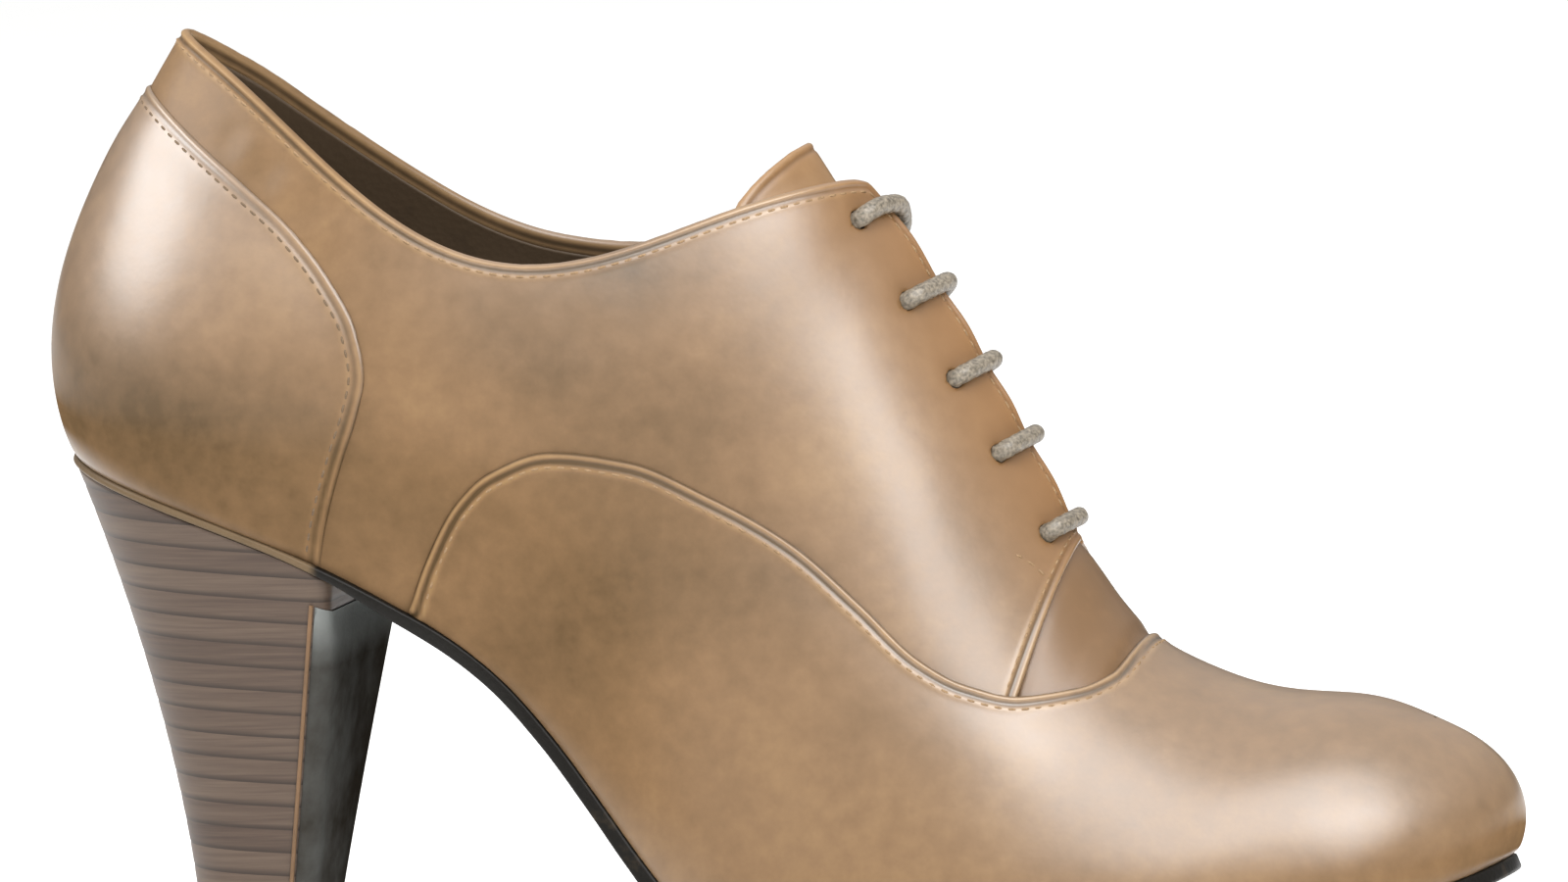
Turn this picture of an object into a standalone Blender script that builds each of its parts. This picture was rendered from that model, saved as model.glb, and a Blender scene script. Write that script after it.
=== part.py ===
"""High-heeled derby shoe for the right foot, built piece by piece around one form of the last.

The form is a loop of leaning sections. Each section is a cubic curve that climbs from the feather
edge, where the upper meets the sole, to the rim: the collar at the back, the middle line of the
instep, vamp and toe in front. The upper, its overlays, the tongue, the laces, the insole, the sole
and the heel seat all read their shape from that form. Sizes are in millimetres; +X points to the
toe, +Y to the inner side of the foot and +Z up.
"""

import math
from collections import namedtuple

import bpy
import numpy as np

MM = 0.001

# Thicknesses and gaps
WALL = 1.5  # leather and lining of the upper together
OVERLAY = 0.8  # vamp and counter leather
PANEL_GAP = 0.45  # air under the vamp and the counter, whose flat facets bridge the curve
GAP = 0.35  # air between two pieces that touch
TONGUE = 1.5
INSOLE = 1.6
BREAST_COVER = 0.6
TOP_PIECE = 5.0
SOLE_EDGE = 1.2  # how far the outsole reaches past the feather edge, flush with the overlays

# Throat and lacing
OUTER_FACING, INNER_FACING = 1.0, 4.2  # from the middle line to the edge of each facing
OUTER_CORNER, INNER_CORNER = 3.5, 7.5  # the same at the round top corner of each facing
LACE_RADIUS = 1.25
LACE_HOLE_OFFSET = 9.0  # from the middle line to a lace hole
LACE_LEVELS = (115.6, 101.9, 90.0, 78.5, 65.8)  # height of the middle line under each bar

# Rows of the upper's grid: below the vamp seam, and between that seam and the rim
LOWER_ROWS = 8
UPPER_ROWS = 6

# Sections of the last, from the heel back to the toe tip. The foot columns place the feather edge
# and the rim columns the top of each section, with half widths to the outer (lateral) and inner
# (medial) side. swing is the way a section faces in plan, 180 at the heel back and 0 at the toe.
# foot_out, foot_up, rim_out and rim_down are the handles of the section's curve; lean is how far
# the handles follow the section's forward slope; cuts is the number of grid lines to the next row.
SECTION_COLUMNS = (
    "name foot_x lateral medial rim_x rim_lateral rim_medial rim_z rim_lift "
    "swing foot_out foot_up rim_out rim_down lean cuts"
)
Section = namedtuple("Section", SECTION_COLUMNS)
SECTIONS = [
    Section("heel back", 3.8, 0, 0, 22.9, 0, 0, 144.6, 0, 180, 14, 20, 9.4, 26, 1, 3),
    Section("heel round", 10.8, 16.4, 16.4, 30, 9, 10, 139.9, -1.0, 140, 12, 20, 8, 25, 1, 3),
    Section("seat side", 26, 23.4, 23.2, 41, 16.2, 18, 131.4, -2.4, 105, 9, 19, 7, 22, 1, 3),
    Section("seat front", 44, 24.6, 24.0, 57, 22.7, 24, 118.2, -1.6, 92, 7.5, 18, 6, 19, 1, 4),
    Section("waist back", 60, 23.8, 22.7, 74, 26, 26.5, 110.2, -1.2, 90, 7, 19, 6.5, 18, 1, 4),
    Section("waist", 75, 23.2, 21.0, 92, 25.7, 25.5, 110.6, -2.4, 90, 10.5, 23.5, 9, 24.5, 1, 3),
    Section("waist front", 90, 26.5, 23.3, 110.5, 19.6, 19.5, 116.0, -1.5, 90, 7.5, 28, 12.5, 28, 1, 3),
    Section("collar corner", 101, 30.5, 27.0, 124.4, 9.4, 9.0, 118.7, -2.2, 90, 5, 36, 16, 19, 1, 4),
    Section("throat top", 109, 32.6, 29.7, 130.6, 0, 0, 114.6, 0, 90, 4.5, 38, 21.5, 5, 1, 4),
    Section("facing", 123, 34.7, 33.0, 142.5, 0, 0, 93.8, 0, 90, 4, 42, 18, 7.5, 1, 4),
    Section("throat foot", 140, 35.2, 35.2, 157.3, 0, 0, 62.8, 0, 90, 3.5, 25, 17, 1, 1, 6),
    Section("seam centre", 155, 34.2, 35.8, 166, 0, 0, 47.4, 0, 90, 3, 19, 18.8, 0, 1, 3),
    Section("vamp", 172, 31.8, 34.6, 181.8, 0, 0, 38.9, 0, 90, 3, 15.5, 20, 0, 1, 3),
    Section("toe box", 190, 27.4, 30.4, 196.5, 0, 0, 36.8, 0, 86, 3, 13.5, 18.5, 0, 0.5, 3),
    Section("toe corner", 205, 21, 24.6, 204, 0, 0, 34.8, 0, 60, 3.5, 12, 12.9, 1.8, 0, 3),
    Section("toe side", 215, 11, 15.5, 207.5, 0, 0, 33.5, 0, 32, 4.5, 10.5, 9.4, 3.2, 0, 3),
    Section("toe tip", 218.3, -2.5, 2.5, 209, 0, 0, 33.0, 0, 0, 5.5, 9, 8.8, 3.7, 0, 0),
]
COLLAR_CORNER, THROAT_TOP, THROAT_FOOT, SEAM_CENTRE = 7, 8, 10, 11
TOE_TIP = len(SECTIONS) - 1
COUNTER_EVEN = 3  # the counter uses the upper's own grid lines up to this section
LOOP = 2 * TOE_TIP

# Top of the outsole and its thickness along the last
Bottom = namedtuple("Bottom", "x z thickness")
BOTTOM = [
    Bottom(-4, 83.6, 0.9),
    Bottom(4.2, 80.6, 0.9),
    Bottom(17, 76.0, 0.9),
    Bottom(36.5, 68.3, 0.9),
    Bottom(46.5, 63.5, 1.1),
    Bottom(56, 58.1, 1.8),
    Bottom(64, 53.0, 2.0),
    Bottom(71.4, 46.7, 2.0),
    Bottom(79, 37.9, 2.0),
    Bottom(86.7, 27.5, 2.1),
    Bottom(91.8, 20.4, 2.2),
    Bottom(97, 14.0, 2.4),
    Bottom(102.5, 8.7, 2.6),
    Bottom(108.5, 5.0, 2.7),
    Bottom(115, 3.2, 2.8),
    Bottom(121, 2.8, 2.8),
    Bottom(150, 2.8, 2.8),
    Bottom(165, 3.5, 2.7),
    Bottom(180, 5.0, 2.6),
    Bottom(195, 7.0, 2.5),
    Bottom(208, 9.3, 2.4),
    Bottom(215, 10.9, 2.3),
    Bottom(219, 12.2, 2.2),
    Bottom(226, 15.0, 2.2),
]

# The edge of the vamp in side view, from the waist to the middle of the throat
Seam = namedtuple("Seam", "x z")
VAMP_SEAM = [
    Seam(58.1, 57.0),
    Seam(61.6, 64.4),
    Seam(67.8, 74.0),
    Seam(73.5, 78.6),
    Seam(82.8, 81.5),
    Seam(94.9, 79.6),
    Seam(106.9, 73.6),
    Seam(118.9, 65.9),
    Seam(129, 56.6),
    Seam(137.2, 48.3),
    Seam(143.9, 44.1),
    Seam(151.8, 41.8),
    Seam(159.1, 42.2),
    Seam(163.2, 43.6),
    Seam(166.0, 48.0),
]
# The front edge of the counter in side view, from the sole to the heel back
COUNTER_SEAM = [
    Seam(44.2, 60.0),
    Seam(45.4, 66.0),
    Seam(47.4, 72.5),
    Seam(50.6, 81.1),
    Seam(53.2, 87.7),
    Seam(54.6, 93.6),
    Seam(53.4, 100.3),
    Seam(49.6, 107.4),
    Seam(43.3, 115.2),
    Seam(35.0, 122.3),
    Seam(26.3, 129.0),
    Seam(17.5, 136.0),
]

# Tongue: how far it lies under the upper's outer face and its half width, along the sections
TongueRow = namedtuple("TongueRow", "section depth half_width")
TONGUE_ROWS = [
    TongueRow(8.0, 6.0, 19.0),
    TongueRow(8.5, 5.0, 21.0),
    TongueRow(9.0, 4.0, 22.5),
    TongueRow(9.5, 3.0, 24.0),
    TongueRow(10.0, 2.2, 26.5),
    TongueRow(10.4, 2.15, 27.0),
    TongueRow(10.8, 2.15, 26.0),
    TongueRow(11.2, 2.2, 23.0),
    TongueRow(11.5, 2.3, 19.0),
]
# The tongue's tip past the throat: distance along it, half width, depth of its arch, and how far
# the throat's own section has given way to that arch
TongueTip = namedtuple("TongueTip", "reach half_width arch own")
TONGUE_TIP = [
    TongueTip(14.2, 5.0, 1.6, 1.0),
    TongueTip(13.7, 8.6, 4.4, 1.0),
    TongueTip(12.8, 11.8, 7.6, 1.0),
    TongueTip(11.4, 14.4, 10.6, 1.0),
    TongueTip(9.2, 16.0, 12.2, 1.0),
    TongueTip(6.2, 17.2, 12.4, 0.9),
    TongueTip(3.1, 18.2, 11.6, 0.5),
]
TONGUE_TIP_WAY = (-0.5, 0.0, 0.866)
TONGUE_HALF_COLUMNS = 5

# Heel block: plan outline at the floor, and how each upright curves on its way to the seat
HEEL_FOOT_BACK, HEEL_FOOT_FRONT, HEEL_FOOT_HALF_WIDTH = 18.0, 35.5, 11.0
HEEL_BREAST_TOP = 46.5
HEEL_CORNER = 3.4
HEEL_BACK_CURVE, HEEL_SIDE_CURVE, HEEL_BREAST_CURVE = 1.75, 1.35, 1.0
HEEL_LEVELS = 9
HEEL_ROUND_POINTS = 15
HEEL_CORNER_POINTS = 4


# Interpolation along the sections


def smooth_tangents(values):
    """Slopes of a closed cubic spline through the values, one unit apart."""
    count = len(values)
    matrix = 4 * np.eye(count) + np.roll(np.eye(count), 1, 0) + np.roll(np.eye(count), -1, 0)
    return np.linalg.solve(matrix, 3 * (np.roll(values, -1) - np.roll(values, 1)))


def flat_tangents(values):
    """Slopes that never overshoot, so a row of equal values stays level."""
    after = np.roll(values, -1) - values
    before = values - np.roll(values, 1)
    same_way = after * before > 0
    mean = 2 * after * before / np.where(same_way, after + before, 1.0)
    return np.where(same_way, mean, 0.0)


def hermite(values, tangents, s):
    """Value at loop place s of the closed cubic with those slopes."""
    s = np.asarray(s, float) % len(values)
    first = np.floor(s).astype(int) % len(values)
    after = (first + 1) % len(values)
    t = s - np.floor(s)
    return (
        values[first] * (1 + 2 * t) * (1 - t) ** 2
        + tangents[first] * t * (1 - t) ** 2
        + values[after] * t * t * (3 - 2 * t)
        + tangents[after] * t * t * (t - 1)
    )


def along(table, column, x, key="x"):
    """A table's column at x, on a curve that keeps level stretches level."""
    places = np.array([getattr(row, key) for row in table], float)
    values = np.array([getattr(row, column) for row in table], float)
    step = np.diff(places)
    slope = np.diff(values) / step
    same_way = slope[1:] * slope[:-1] > 0
    inner = np.where(same_way, 2 * slope[1:] * slope[:-1] / np.where(same_way, slope[1:] + slope[:-1], 1), 0)
    tangent = np.concatenate([slope[:1], inner, slope[-1:]])
    x = np.clip(np.asarray(x, float), places[0], places[-1])
    first = np.clip(np.searchsorted(places, x) - 1, 0, len(step) - 1)
    t = (x - places[first]) / step[first]
    return (
        values[first] * (1 + 2 * t) * (1 - t) ** 2
        + tangent[first] * step[first] * t * (1 - t) ** 2
        + values[first + 1] * t * t * (3 - 2 * t)
        + tangent[first + 1] * step[first] * t * t * (t - 1)
    )


def loop_columns():
    """Each section value round the whole shoe: outer side to the toe, then inner side back."""
    both = [(row, -1) for row in SECTIONS] + [(row, 1) for row in SECTIONS[-2:0:-1]]
    smooth = {
        "foot_x": [r.foot_x for r, side in both],
        "foot_y": [-r.lateral if side < 0 else r.medial for r, side in both],
        "out_x": [math.cos(math.radians(r.swing)) for r, side in both],
        "out_y": [side * math.sin(math.radians(r.swing)) for r, side in both],
        "foot_out": [r.foot_out for r, side in both],
        "foot_up": [r.foot_up for r, side in both],
        "rim_x": [r.rim_x for r, side in both],
        "rim_y": [-r.rim_lateral if side < 0 else r.rim_medial for r, side in both],
        "rim_z": [r.rim_z for r, side in both],
        "rim_out": [r.rim_out for r, side in both],
        "rim_down": [r.rim_down for r, side in both],
    }
    flat = {
        "rim_lift": [r.rim_lift if side > 0 else 0 for r, side in both],
        "lean": [r.lean for r, side in both],
    }
    columns = {}
    for group, slopes in ((smooth, smooth_tangents), (flat, flat_tangents)):
        for name, values in group.items():
            values = np.array(values, float)
            columns[name] = (values, slopes(values))
    rim_y, slope = columns["rim_y"]
    closed = np.abs((np.arange(LOOP) + TOE_TIP) % LOOP - TOE_TIP) >= THROAT_FOOT
    columns["rim_y"] = (rim_y, np.where(closed, 0.0, slope))  # both sides meet on the middle line
    return columns


COLUMNS = loop_columns()


def at(column, s):
    return hermite(*COLUMNS[column], s)


# The form


def bottom_normal(x):
    """Upward normal of the outsole's top, in the XZ plane."""
    step = 0.05
    slope = (along(BOTTOM, "z", x + step) - along(BOTTOM, "z", x - step)) / (2 * step)
    length = np.sqrt(1 + slope**2)
    return np.stack([-slope / length, np.zeros_like(length), 1 / length], -1)


def form(s, v):
    """Point of the upper's outer face at loop place s and height share v, for arrays of both."""
    s, v = np.broadcast_arrays(np.asarray(s, float), np.asarray(v, float))
    foot_x, foot_y = at("foot_x", s), at("foot_y", s)
    foot = np.stack([foot_x, foot_y, along(BOTTOM, "z", foot_x)], -1) + GAP * bottom_normal(foot_x)
    rim = np.stack([at("rim_x", s), at("rim_y", s), at("rim_z", s) + at("rim_lift", s)], -1)
    out = np.stack([at("out_x", s), at("out_y", s), np.zeros_like(foot_x)], -1)
    slope = at("lean", s) * (rim[..., 0] - foot[..., 0]) / (rim[..., 2] - foot[..., 2])
    climb = np.stack([slope, np.zeros_like(slope), np.ones_like(slope)], -1)
    foot_handle = foot + at("foot_out", s)[..., None] * out + at("foot_up", s)[..., None] * climb
    rim_handle = rim + at("rim_out", s)[..., None] * out - at("rim_down", s)[..., None] * climb
    v = v[..., None]
    return (
        (1 - v) ** 3 * foot
        + 3 * (1 - v) ** 2 * v * foot_handle
        + 3 * (1 - v) * v**2 * rim_handle
        + v**3 * rim
    )


def form_normal(s, v):
    """Outward normal of the form."""
    step = 0.004
    s, v = np.broadcast_arrays(np.asarray(s, float), np.asarray(v, float))
    low, high = np.clip(v - step, 0, 1), np.clip(v + step, 0, 1)
    normal = np.cross(form(s + step, v) - form(s - step, v), form(s, high) - form(s, low))
    return normal / np.linalg.norm(normal, axis=-1, keepdims=True)


def panel_normal(s, v):
    """Normal of the form, turned along the outsole where a panel ends on it."""
    normal = form_normal(s, v)
    down = bottom_normal(at("foot_x", s))
    share = np.clip(1 - np.asarray(v) / 0.12, 0, 1)
    normal = normal - (share * (normal * down).sum(-1))[..., None] * down
    return normal / np.linalg.norm(normal, axis=-1, keepdims=True)


SAMPLES = np.linspace(0, 1, 301)


def height_where(s, inside):
    """Lowest and highest share v of section s whose side view point is inside, or None."""
    points = form(s, SAMPLES)
    depth = inside(points[:, 0], points[:, 2])
    found = np.flatnonzero(depth > 0)
    if not len(found):
        return None

    def crossing(outer, inner):
        return SAMPLES[outer] + (SAMPLES[inner] - SAMPLES[outer]) * depth[outer] / (depth[outer] - depth[inner])

    first, last = found[0], found[-1]
    low = 0.0 if first == 0 else crossing(first - 1, first)
    high = 1.0 if last == len(SAMPLES) - 1 else crossing(last + 1, last)
    return low, high


def under_vamp_seam(x, z):
    level = along(VAMP_SEAM, "z", x)
    depth = np.where(x < VAMP_SEAM[0].x, -1.0, level - z)
    return np.where(x > VAMP_SEAM[-1].x, 1.0, depth)


def behind_counter_seam(x, z):
    depth = along(COUNTER_SEAM, "x", z, key="z") - x
    return np.where(z > COUNTER_SEAM[-1].z, -1.0, depth)


def height_at_width(s, half_width):
    """Share v where section s comes in to that half width, or 1 if its rim is wider."""
    width = np.abs(form(s, SAMPLES)[:, 1])
    wide = np.flatnonzero(width >= half_width)
    last = wide[-1]
    if last == len(SAMPLES) - 1:
        return 1.0
    part = (width[last] - half_width) / (width[last] - width[last + 1])
    return SAMPLES[last] + part * (SAMPLES[last + 1] - SAMPLES[last])


def grid_lines():
    """Loop places of the grid lines, closer together towards the seam's middle."""
    places = []
    for row, section in enumerate(SECTIONS[:-1]):
        for cut in range(section.cuts):
            share = cut / section.cuts
            if row == THROAT_FOOT:
                share = 1 - (1 - share) ** 2
            places.append(row + share)
    outer = places + [float(TOE_TIP)]
    inner = [LOOP - place for place in places[:0:-1]]
    return outer + inner


def own_row(s):
    """Section row of a loop place, the same on both sides."""
    return s if s <= TOE_TIP else LOOP - s


LINES = grid_lines()


# Mesh building


def make_object(name, points, faces, material, smooth=True):
    """A named object from points in millimetres."""
    mesh = bpy.data.meshes.new(name)
    mesh.from_pydata([tuple(p) for p in np.asarray(points) * MM], [], faces)
    mesh.validate()
    if smooth:
        mesh.shade_smooth()
        mesh.set_sharp_from_angle(angle=math.radians(40))
    mesh.materials.append(material)
    piece = bpy.data.objects.new(name, mesh)
    bpy.context.scene.collection.objects.link(piece)
    return piece


def stitched(points, strips):
    """Numbers that give points in one place one number, and the faces drawn with them."""
    places = {}
    index = np.array([places.setdefault(tuple(np.round(point, 4)), len(places)) for point in points])
    faces = []
    for strip in strips:
        corners = [int(index[i]) for i in strip]
        face = [c for k, c in enumerate(corners) if c != corners[k - 1]]
        if len(face) > 2:
            faces.append(face)
    return index, faces


def mean_by(index, points):
    """Mean of the points that share a number."""
    total = np.zeros((index.max() + 1, 3))
    np.add.at(total, index, points)
    return total / np.bincount(index)[:, None]


def shell(name, face, outside, inside, strips, material):
    """A closed wall between two point sets that follow one face."""
    index, faces = stitched(face, strips)
    outside, inside = mean_by(index, outside), mean_by(index, inside)
    count = len(outside)
    edges = {(a, b) for face in faces for a, b in zip(face, face[1:] + face[:1])}
    rim = [(b, a, a + count, b + count) for a, b in edges if (b, a) not in edges]
    back = [[corner + count for corner in reversed(face)] for face in faces]
    return make_object(name, np.concatenate([outside, inside]), faces + back + sorted(rim), material)


def strips_between(first, second):
    """Faces between two lines of point numbers."""
    return [(first[j], second[j], second[j + 1], first[j + 1]) for j in range(min(len(first), len(second)) - 1)]


def numbered(lines):
    """Point numbers of consecutive lines."""
    numbers, start = [], 0
    for line in lines:
        numbers.append(list(range(start, start + len(line))))
        start += len(line)
    return numbers


def span(low, high, rows):
    return [low + (high - low) * j / rows for j in range(rows + 1)]


def panel_heights(high):
    """Height shares from the sole to a panel's edge, level in the lower half however high the edge is."""
    middle = 0.5 * min(1.0, high / 0.62)
    half = LOWER_ROWS // 2
    return span(0, middle, half) + span(middle, high, half)[1:]


def material(name, colour, roughness, metallic=0.0):
    finish = bpy.data.materials.new(name)
    finish.use_nodes = True
    shader = finish.node_tree.nodes["Principled BSDF"]
    shader.inputs["Base Color"].default_value = (*colour, 1.0)
    shader.inputs["Roughness"].default_value = roughness
    shader.inputs["Metallic"].default_value = metallic
    return finish


# Pieces


def facing_edge(s):
    """Half width of the throat at a loop place, wider towards the round top corners."""
    edge, corner = (OUTER_FACING, OUTER_CORNER) if s < TOE_TIP else (INNER_FACING, INNER_CORNER)
    share = min(max((THROAT_TOP + 0.6 - own_row(s)) / 1.1, 0), 1)
    return edge + (corner - edge) * share**2


def upper(leather):
    """The hollow upper: quarters and lining, open at the collar, the throat and underneath."""
    seam_at_foot = height_where(THROAT_FOOT, under_vamp_seam)[1]
    lines = []
    for s in LINES:
        row = own_row(s)
        if row <= THROAT_FOOT:
            rim = height_at_width(s, facing_edge(s)) if row > COLLAR_CORNER else 1.0
            heights = panel_heights(seam_at_foot) + span(seam_at_foot, rim, UPPER_ROWS)[1:]
        elif row < SEAM_CENTRE:
            heights = panel_heights(height_where(s, under_vamp_seam)[1])
        else:
            heights = panel_heights(1.0)
        lines.append([(s, v) for v in heights])
    numbers = numbered(lines)
    strips = []
    for i, first in enumerate(numbers):
        strips += strips_between(first, numbers[(i + 1) % len(numbers)])
    s, v = np.array([pair for line in lines for pair in line]).T
    face = form(s, v)
    return shell("upper", face, face, face - WALL * form_normal(s, v), strips, leather)


def overlay(name, lines, leather):
    """A leather panel that lies on the upper, from lines of (loop place, height share)."""
    numbers = numbered(lines)
    strips = [quad for a, b in zip(numbers, numbers[1:]) for quad in strips_between(a, b)]
    s, v = np.array([pair for line in lines for pair in line]).T
    face, normal = form(s, v), panel_normal(s, v)
    return shell(name, face, face + (PANEL_GAP + OVERLAY) * normal, face + PANEL_GAP * normal, strips, leather)


def vamp(leather):
    """Vamp panel, from the waist on one side round the toe to the waist on the other."""
    rows = np.linspace(3, 6, 301)
    ends = []
    for side in (rows, LOOP - rows):
        ends.append([s for s in side if (height_where(s, under_vamp_seam) or (0, 0))[1] > 0.02][0])
    places = [ends[0]] + [s for s in LINES if ends[0] + 0.1 < s < ends[1] - 0.1] + [ends[1]]
    lines = []
    for s in places:
        high = 1.0 if own_row(s) >= SEAM_CENTRE else height_where(s, under_vamp_seam)[1]
        lines.append([(s, v) for v in panel_heights(high)])
    return overlay("vamp", lines, leather)


def counter(leather):
    """Counter panel round the heel, with closer lines where its front edge turns."""
    rows = np.linspace(COUNTER_EVEN, COUNTER_EVEN + 1, 400)
    sides = []
    for outer in (False, True):
        front = max(r for r in rows if height_where(r if outer else LOOP - r, behind_counter_seam))
        turn = [COUNTER_EVEN + (front - COUNTER_EVEN) * (1 - (1 - k / 6) ** 2) for k in range(1, 6)]
        side = [s for s in LINES if s <= COUNTER_EVEN] + turn
        sides += side if outer else [LOOP - s for s in side[:0:-1]]
    lines = [[(s, v) for v in span(*height_where(s, behind_counter_seam), LOWER_ROWS)] for s in sides]
    return overlay("counter", lines, leather)


def upright(normal):
    """A normal on the ridge, between those of its two sides."""
    flat = normal * np.array([1, 0, 1])
    return flat / np.linalg.norm(flat)


def tongue(leather):
    """Tongue sheet under the throat, with its tip past the facings."""
    outside, inside, lines = [], [], []
    ends = [row.section for row in TONGUE_ROWS]
    stations = [TONGUE_ROWS[0].section] + [own_row(s) for s in LINES if ends[0] < s < ends[-1]] + [ends[-1]]
    for station in stations:
        depth = along(TONGUE_ROWS, "depth", station, key="section")
        half_width = along(TONGUE_ROWS, "half_width", station, key="section")
        line = []
        for column in range(-TONGUE_HALF_COLUMNS, TONGUE_HALF_COLUMNS + 1):
            s = station if column <= 0 else LOOP - station
            share = abs(column) / TONGUE_HALF_COLUMNS
            v = 1.0 if column == 0 else height_at_width(s, share * half_width)
            line.append((s, v))
        lines.append(line)
    for line in lines:
        s, v = np.array(line).T
        face, normal = form(s, v), form_normal(s, v)
        normal[TONGUE_HALF_COLUMNS] = upright(normal[TONGUE_HALF_COLUMNS])
        depth = along(TONGUE_ROWS, "depth", own_row(s[0]), key="section")
        outside.append(face - depth * normal)
        inside.append(face - (depth + TONGUE) * normal)
    way = np.array(TONGUE_TIP_WAY)
    drop_way = np.array([-way[2], 0, way[0]])
    share = np.linspace(-1, 1, 2 * TONGUE_HALF_COLUMNS + 1)[:, None]
    tips = []
    for tip in TONGUE_TIP:
        pair = []
        for base in (outside[0], inside[0]):
            middle = base[TONGUE_HALF_COLUMNS]
            arch = middle + share * np.array([0, tip.half_width, 0]) + tip.arch * np.abs(share) ** 1.7 * drop_way
            pair.append((1 - tip.own) * base + tip.own * arch + tip.reach * way)
        tips.append(pair)
    outside = [tip[0] for tip in tips] + outside
    inside = [tip[1] for tip in tips] + inside
    numbers = numbered(outside)
    strips = [quad for a, b in zip(numbers, numbers[1:]) for quad in strips_between(a, b)]
    outside, inside = np.concatenate(outside), np.concatenate(inside)
    return shell("tongue", outside, outside, inside, strips, leather)


def plan_outline(reach):
    """Feather edge in plan, moved outwards by reach, at every grid line."""
    s = np.array(LINES)
    step = 0.01
    way_x, way_y = at("foot_x", s + step) - at("foot_x", s - step), at("foot_y", s + step) - at("foot_y", s - step)
    length = np.hypot(way_x, way_y)
    return np.stack([at("foot_x", s) + reach * way_y / length, at("foot_y", s) - reach * way_x / length], -1)


def sheet_faces(count):
    """Faces across a closed outline, from each point to its partner on the other side."""
    faces = []
    for i in range(count // 2):
        faces.append([i, i + 1, (count - i - 1) % count, (count - i) % count])
    return [[c for k, c in enumerate(face) if c != face[k - 1]] for face in faces]


def bed(name, reach, low, high, finish):
    """A plate over the sole's plan, between two heights over the outsole's top."""
    outline = plan_outline(reach)
    count = len(outline)
    top = np.stack([outline[:, 0], outline[:, 1], along(BOTTOM, "z", outline[:, 0])], -1)
    normal = bottom_normal(outline[:, 0])
    faces = sheet_faces(count)
    under = [[c + count for c in reversed(face)] for face in faces]
    sides = [(i + count, (i + 1) % count + count, (i + 1) % count, i) for i in range(count)]
    points = np.concatenate([top + high[:, None] * normal, top + low[:, None] * normal])
    return make_object(name, points, faces + under + sides, finish)


def outsole(rubber):
    x = plan_outline(SOLE_EDGE)[:, 0]
    return bed("outsole", SOLE_EDGE, -along(BOTTOM, "thickness", x), np.zeros(len(x)), rubber)


def insole(lining):
    low = np.full(len(LINES), GAP)
    return bed("insole", -(WALL + 2 * GAP), low, low + INSOLE, lining)


def heel_outline():
    """Plan points of the heel at the floor and at the seat, from one breast corner round the back."""
    foot, seat = [], []
    middle = HEEL_FOOT_BACK + HEEL_FOOT_HALF_WIDTH
    reach = SOLE_EDGE - 0.3
    s = np.linspace(-1, 1, HEEL_ROUND_POINTS)
    front = HEEL_BREAST_TOP - HEEL_CORNER
    rows = np.linspace(0, TOE_TIP, 2000)
    last = rows[np.searchsorted(at("foot_x", rows), front)]
    for share in s:
        place = abs(share) * last
        loop = LOOP - place if share > 0 else place
        step = 0.01
        way = np.array([at("foot_x", loop + step) - at("foot_x", loop - step),
                        at("foot_y", loop + step) - at("foot_y", loop - step)])
        way = way / np.hypot(*way)
        seat.append((at("foot_x", loop) + reach * way[1], at("foot_y", loop) - reach * way[0]))
        turn = math.pi / 2 * abs(share) * 1.12
        if turn < math.pi / 2:
            x, y = middle - HEEL_FOOT_HALF_WIDTH * math.cos(turn), HEEL_FOOT_HALF_WIDTH * math.sin(turn)
        else:
            straight = HEEL_FOOT_FRONT - HEEL_CORNER - middle
            x, y = middle + straight * (turn / (math.pi / 2) - 1) / 0.12, HEEL_FOOT_HALF_WIDTH
        foot.append((x, math.copysign(y, share)))
    return np.array(foot), np.array(seat)


def rounded_breast(outline, front):
    """Adds the breast with its round corners to an outline that ends a corner short of it."""
    points = list(map(tuple, outline))
    first, last = points[0], points[-1]
    for k in range(1, HEEL_CORNER_POINTS + 1):
        turn = math.pi / 2 * k / HEEL_CORNER_POINTS
        x = front - HEEL_CORNER + HEEL_CORNER * math.sin(turn)
        inward = HEEL_CORNER * (1 - math.cos(turn))
        points.append((x, last[1] - inward))
        points.insert(0, (x, first[1] + inward))
    return np.array(points)


def heel_rings(outward=0.0):
    """Rings of the heel block from its foot to the seat."""
    foot, seat = heel_outline()
    foot = rounded_breast(foot, HEEL_FOOT_FRONT)
    seat = rounded_breast(seat, HEEL_BREAST_TOP)
    forward = np.clip((foot[:, 0] - HEEL_FOOT_BACK) / (HEEL_FOOT_FRONT - HEEL_FOOT_BACK), 0, 1)
    bend_x = HEEL_BACK_CURVE + (HEEL_BREAST_CURVE - HEEL_BACK_CURVE) * forward
    plans = []
    for level in range(HEEL_LEVELS):
        t = level / (HEEL_LEVELS - 1)
        x = foot[:, 0] + (seat[:, 0] - foot[:, 0]) * t**bend_x
        y = foot[:, 1] + (seat[:, 1] - foot[:, 1]) * t**HEEL_SIDE_CURVE
        way = np.stack([np.roll(x, -1) - np.roll(x, 1), np.roll(y, -1) - np.roll(y, 1)], -1)
        way = way / np.linalg.norm(way, axis=1, keepdims=True)
        plans.append((t, x - outward * way[:, 1], y + outward * way[:, 0]))
    seat_x = plans[-1][1]
    seat_z = along(BOTTOM, "z", seat_x) - along(BOTTOM, "thickness", seat_x) - 1.5 * GAP
    rings = [np.stack([x, y, TOP_PIECE + (seat_z - TOP_PIECE) * t], -1) for t, x, y in plans]
    return rings


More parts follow.
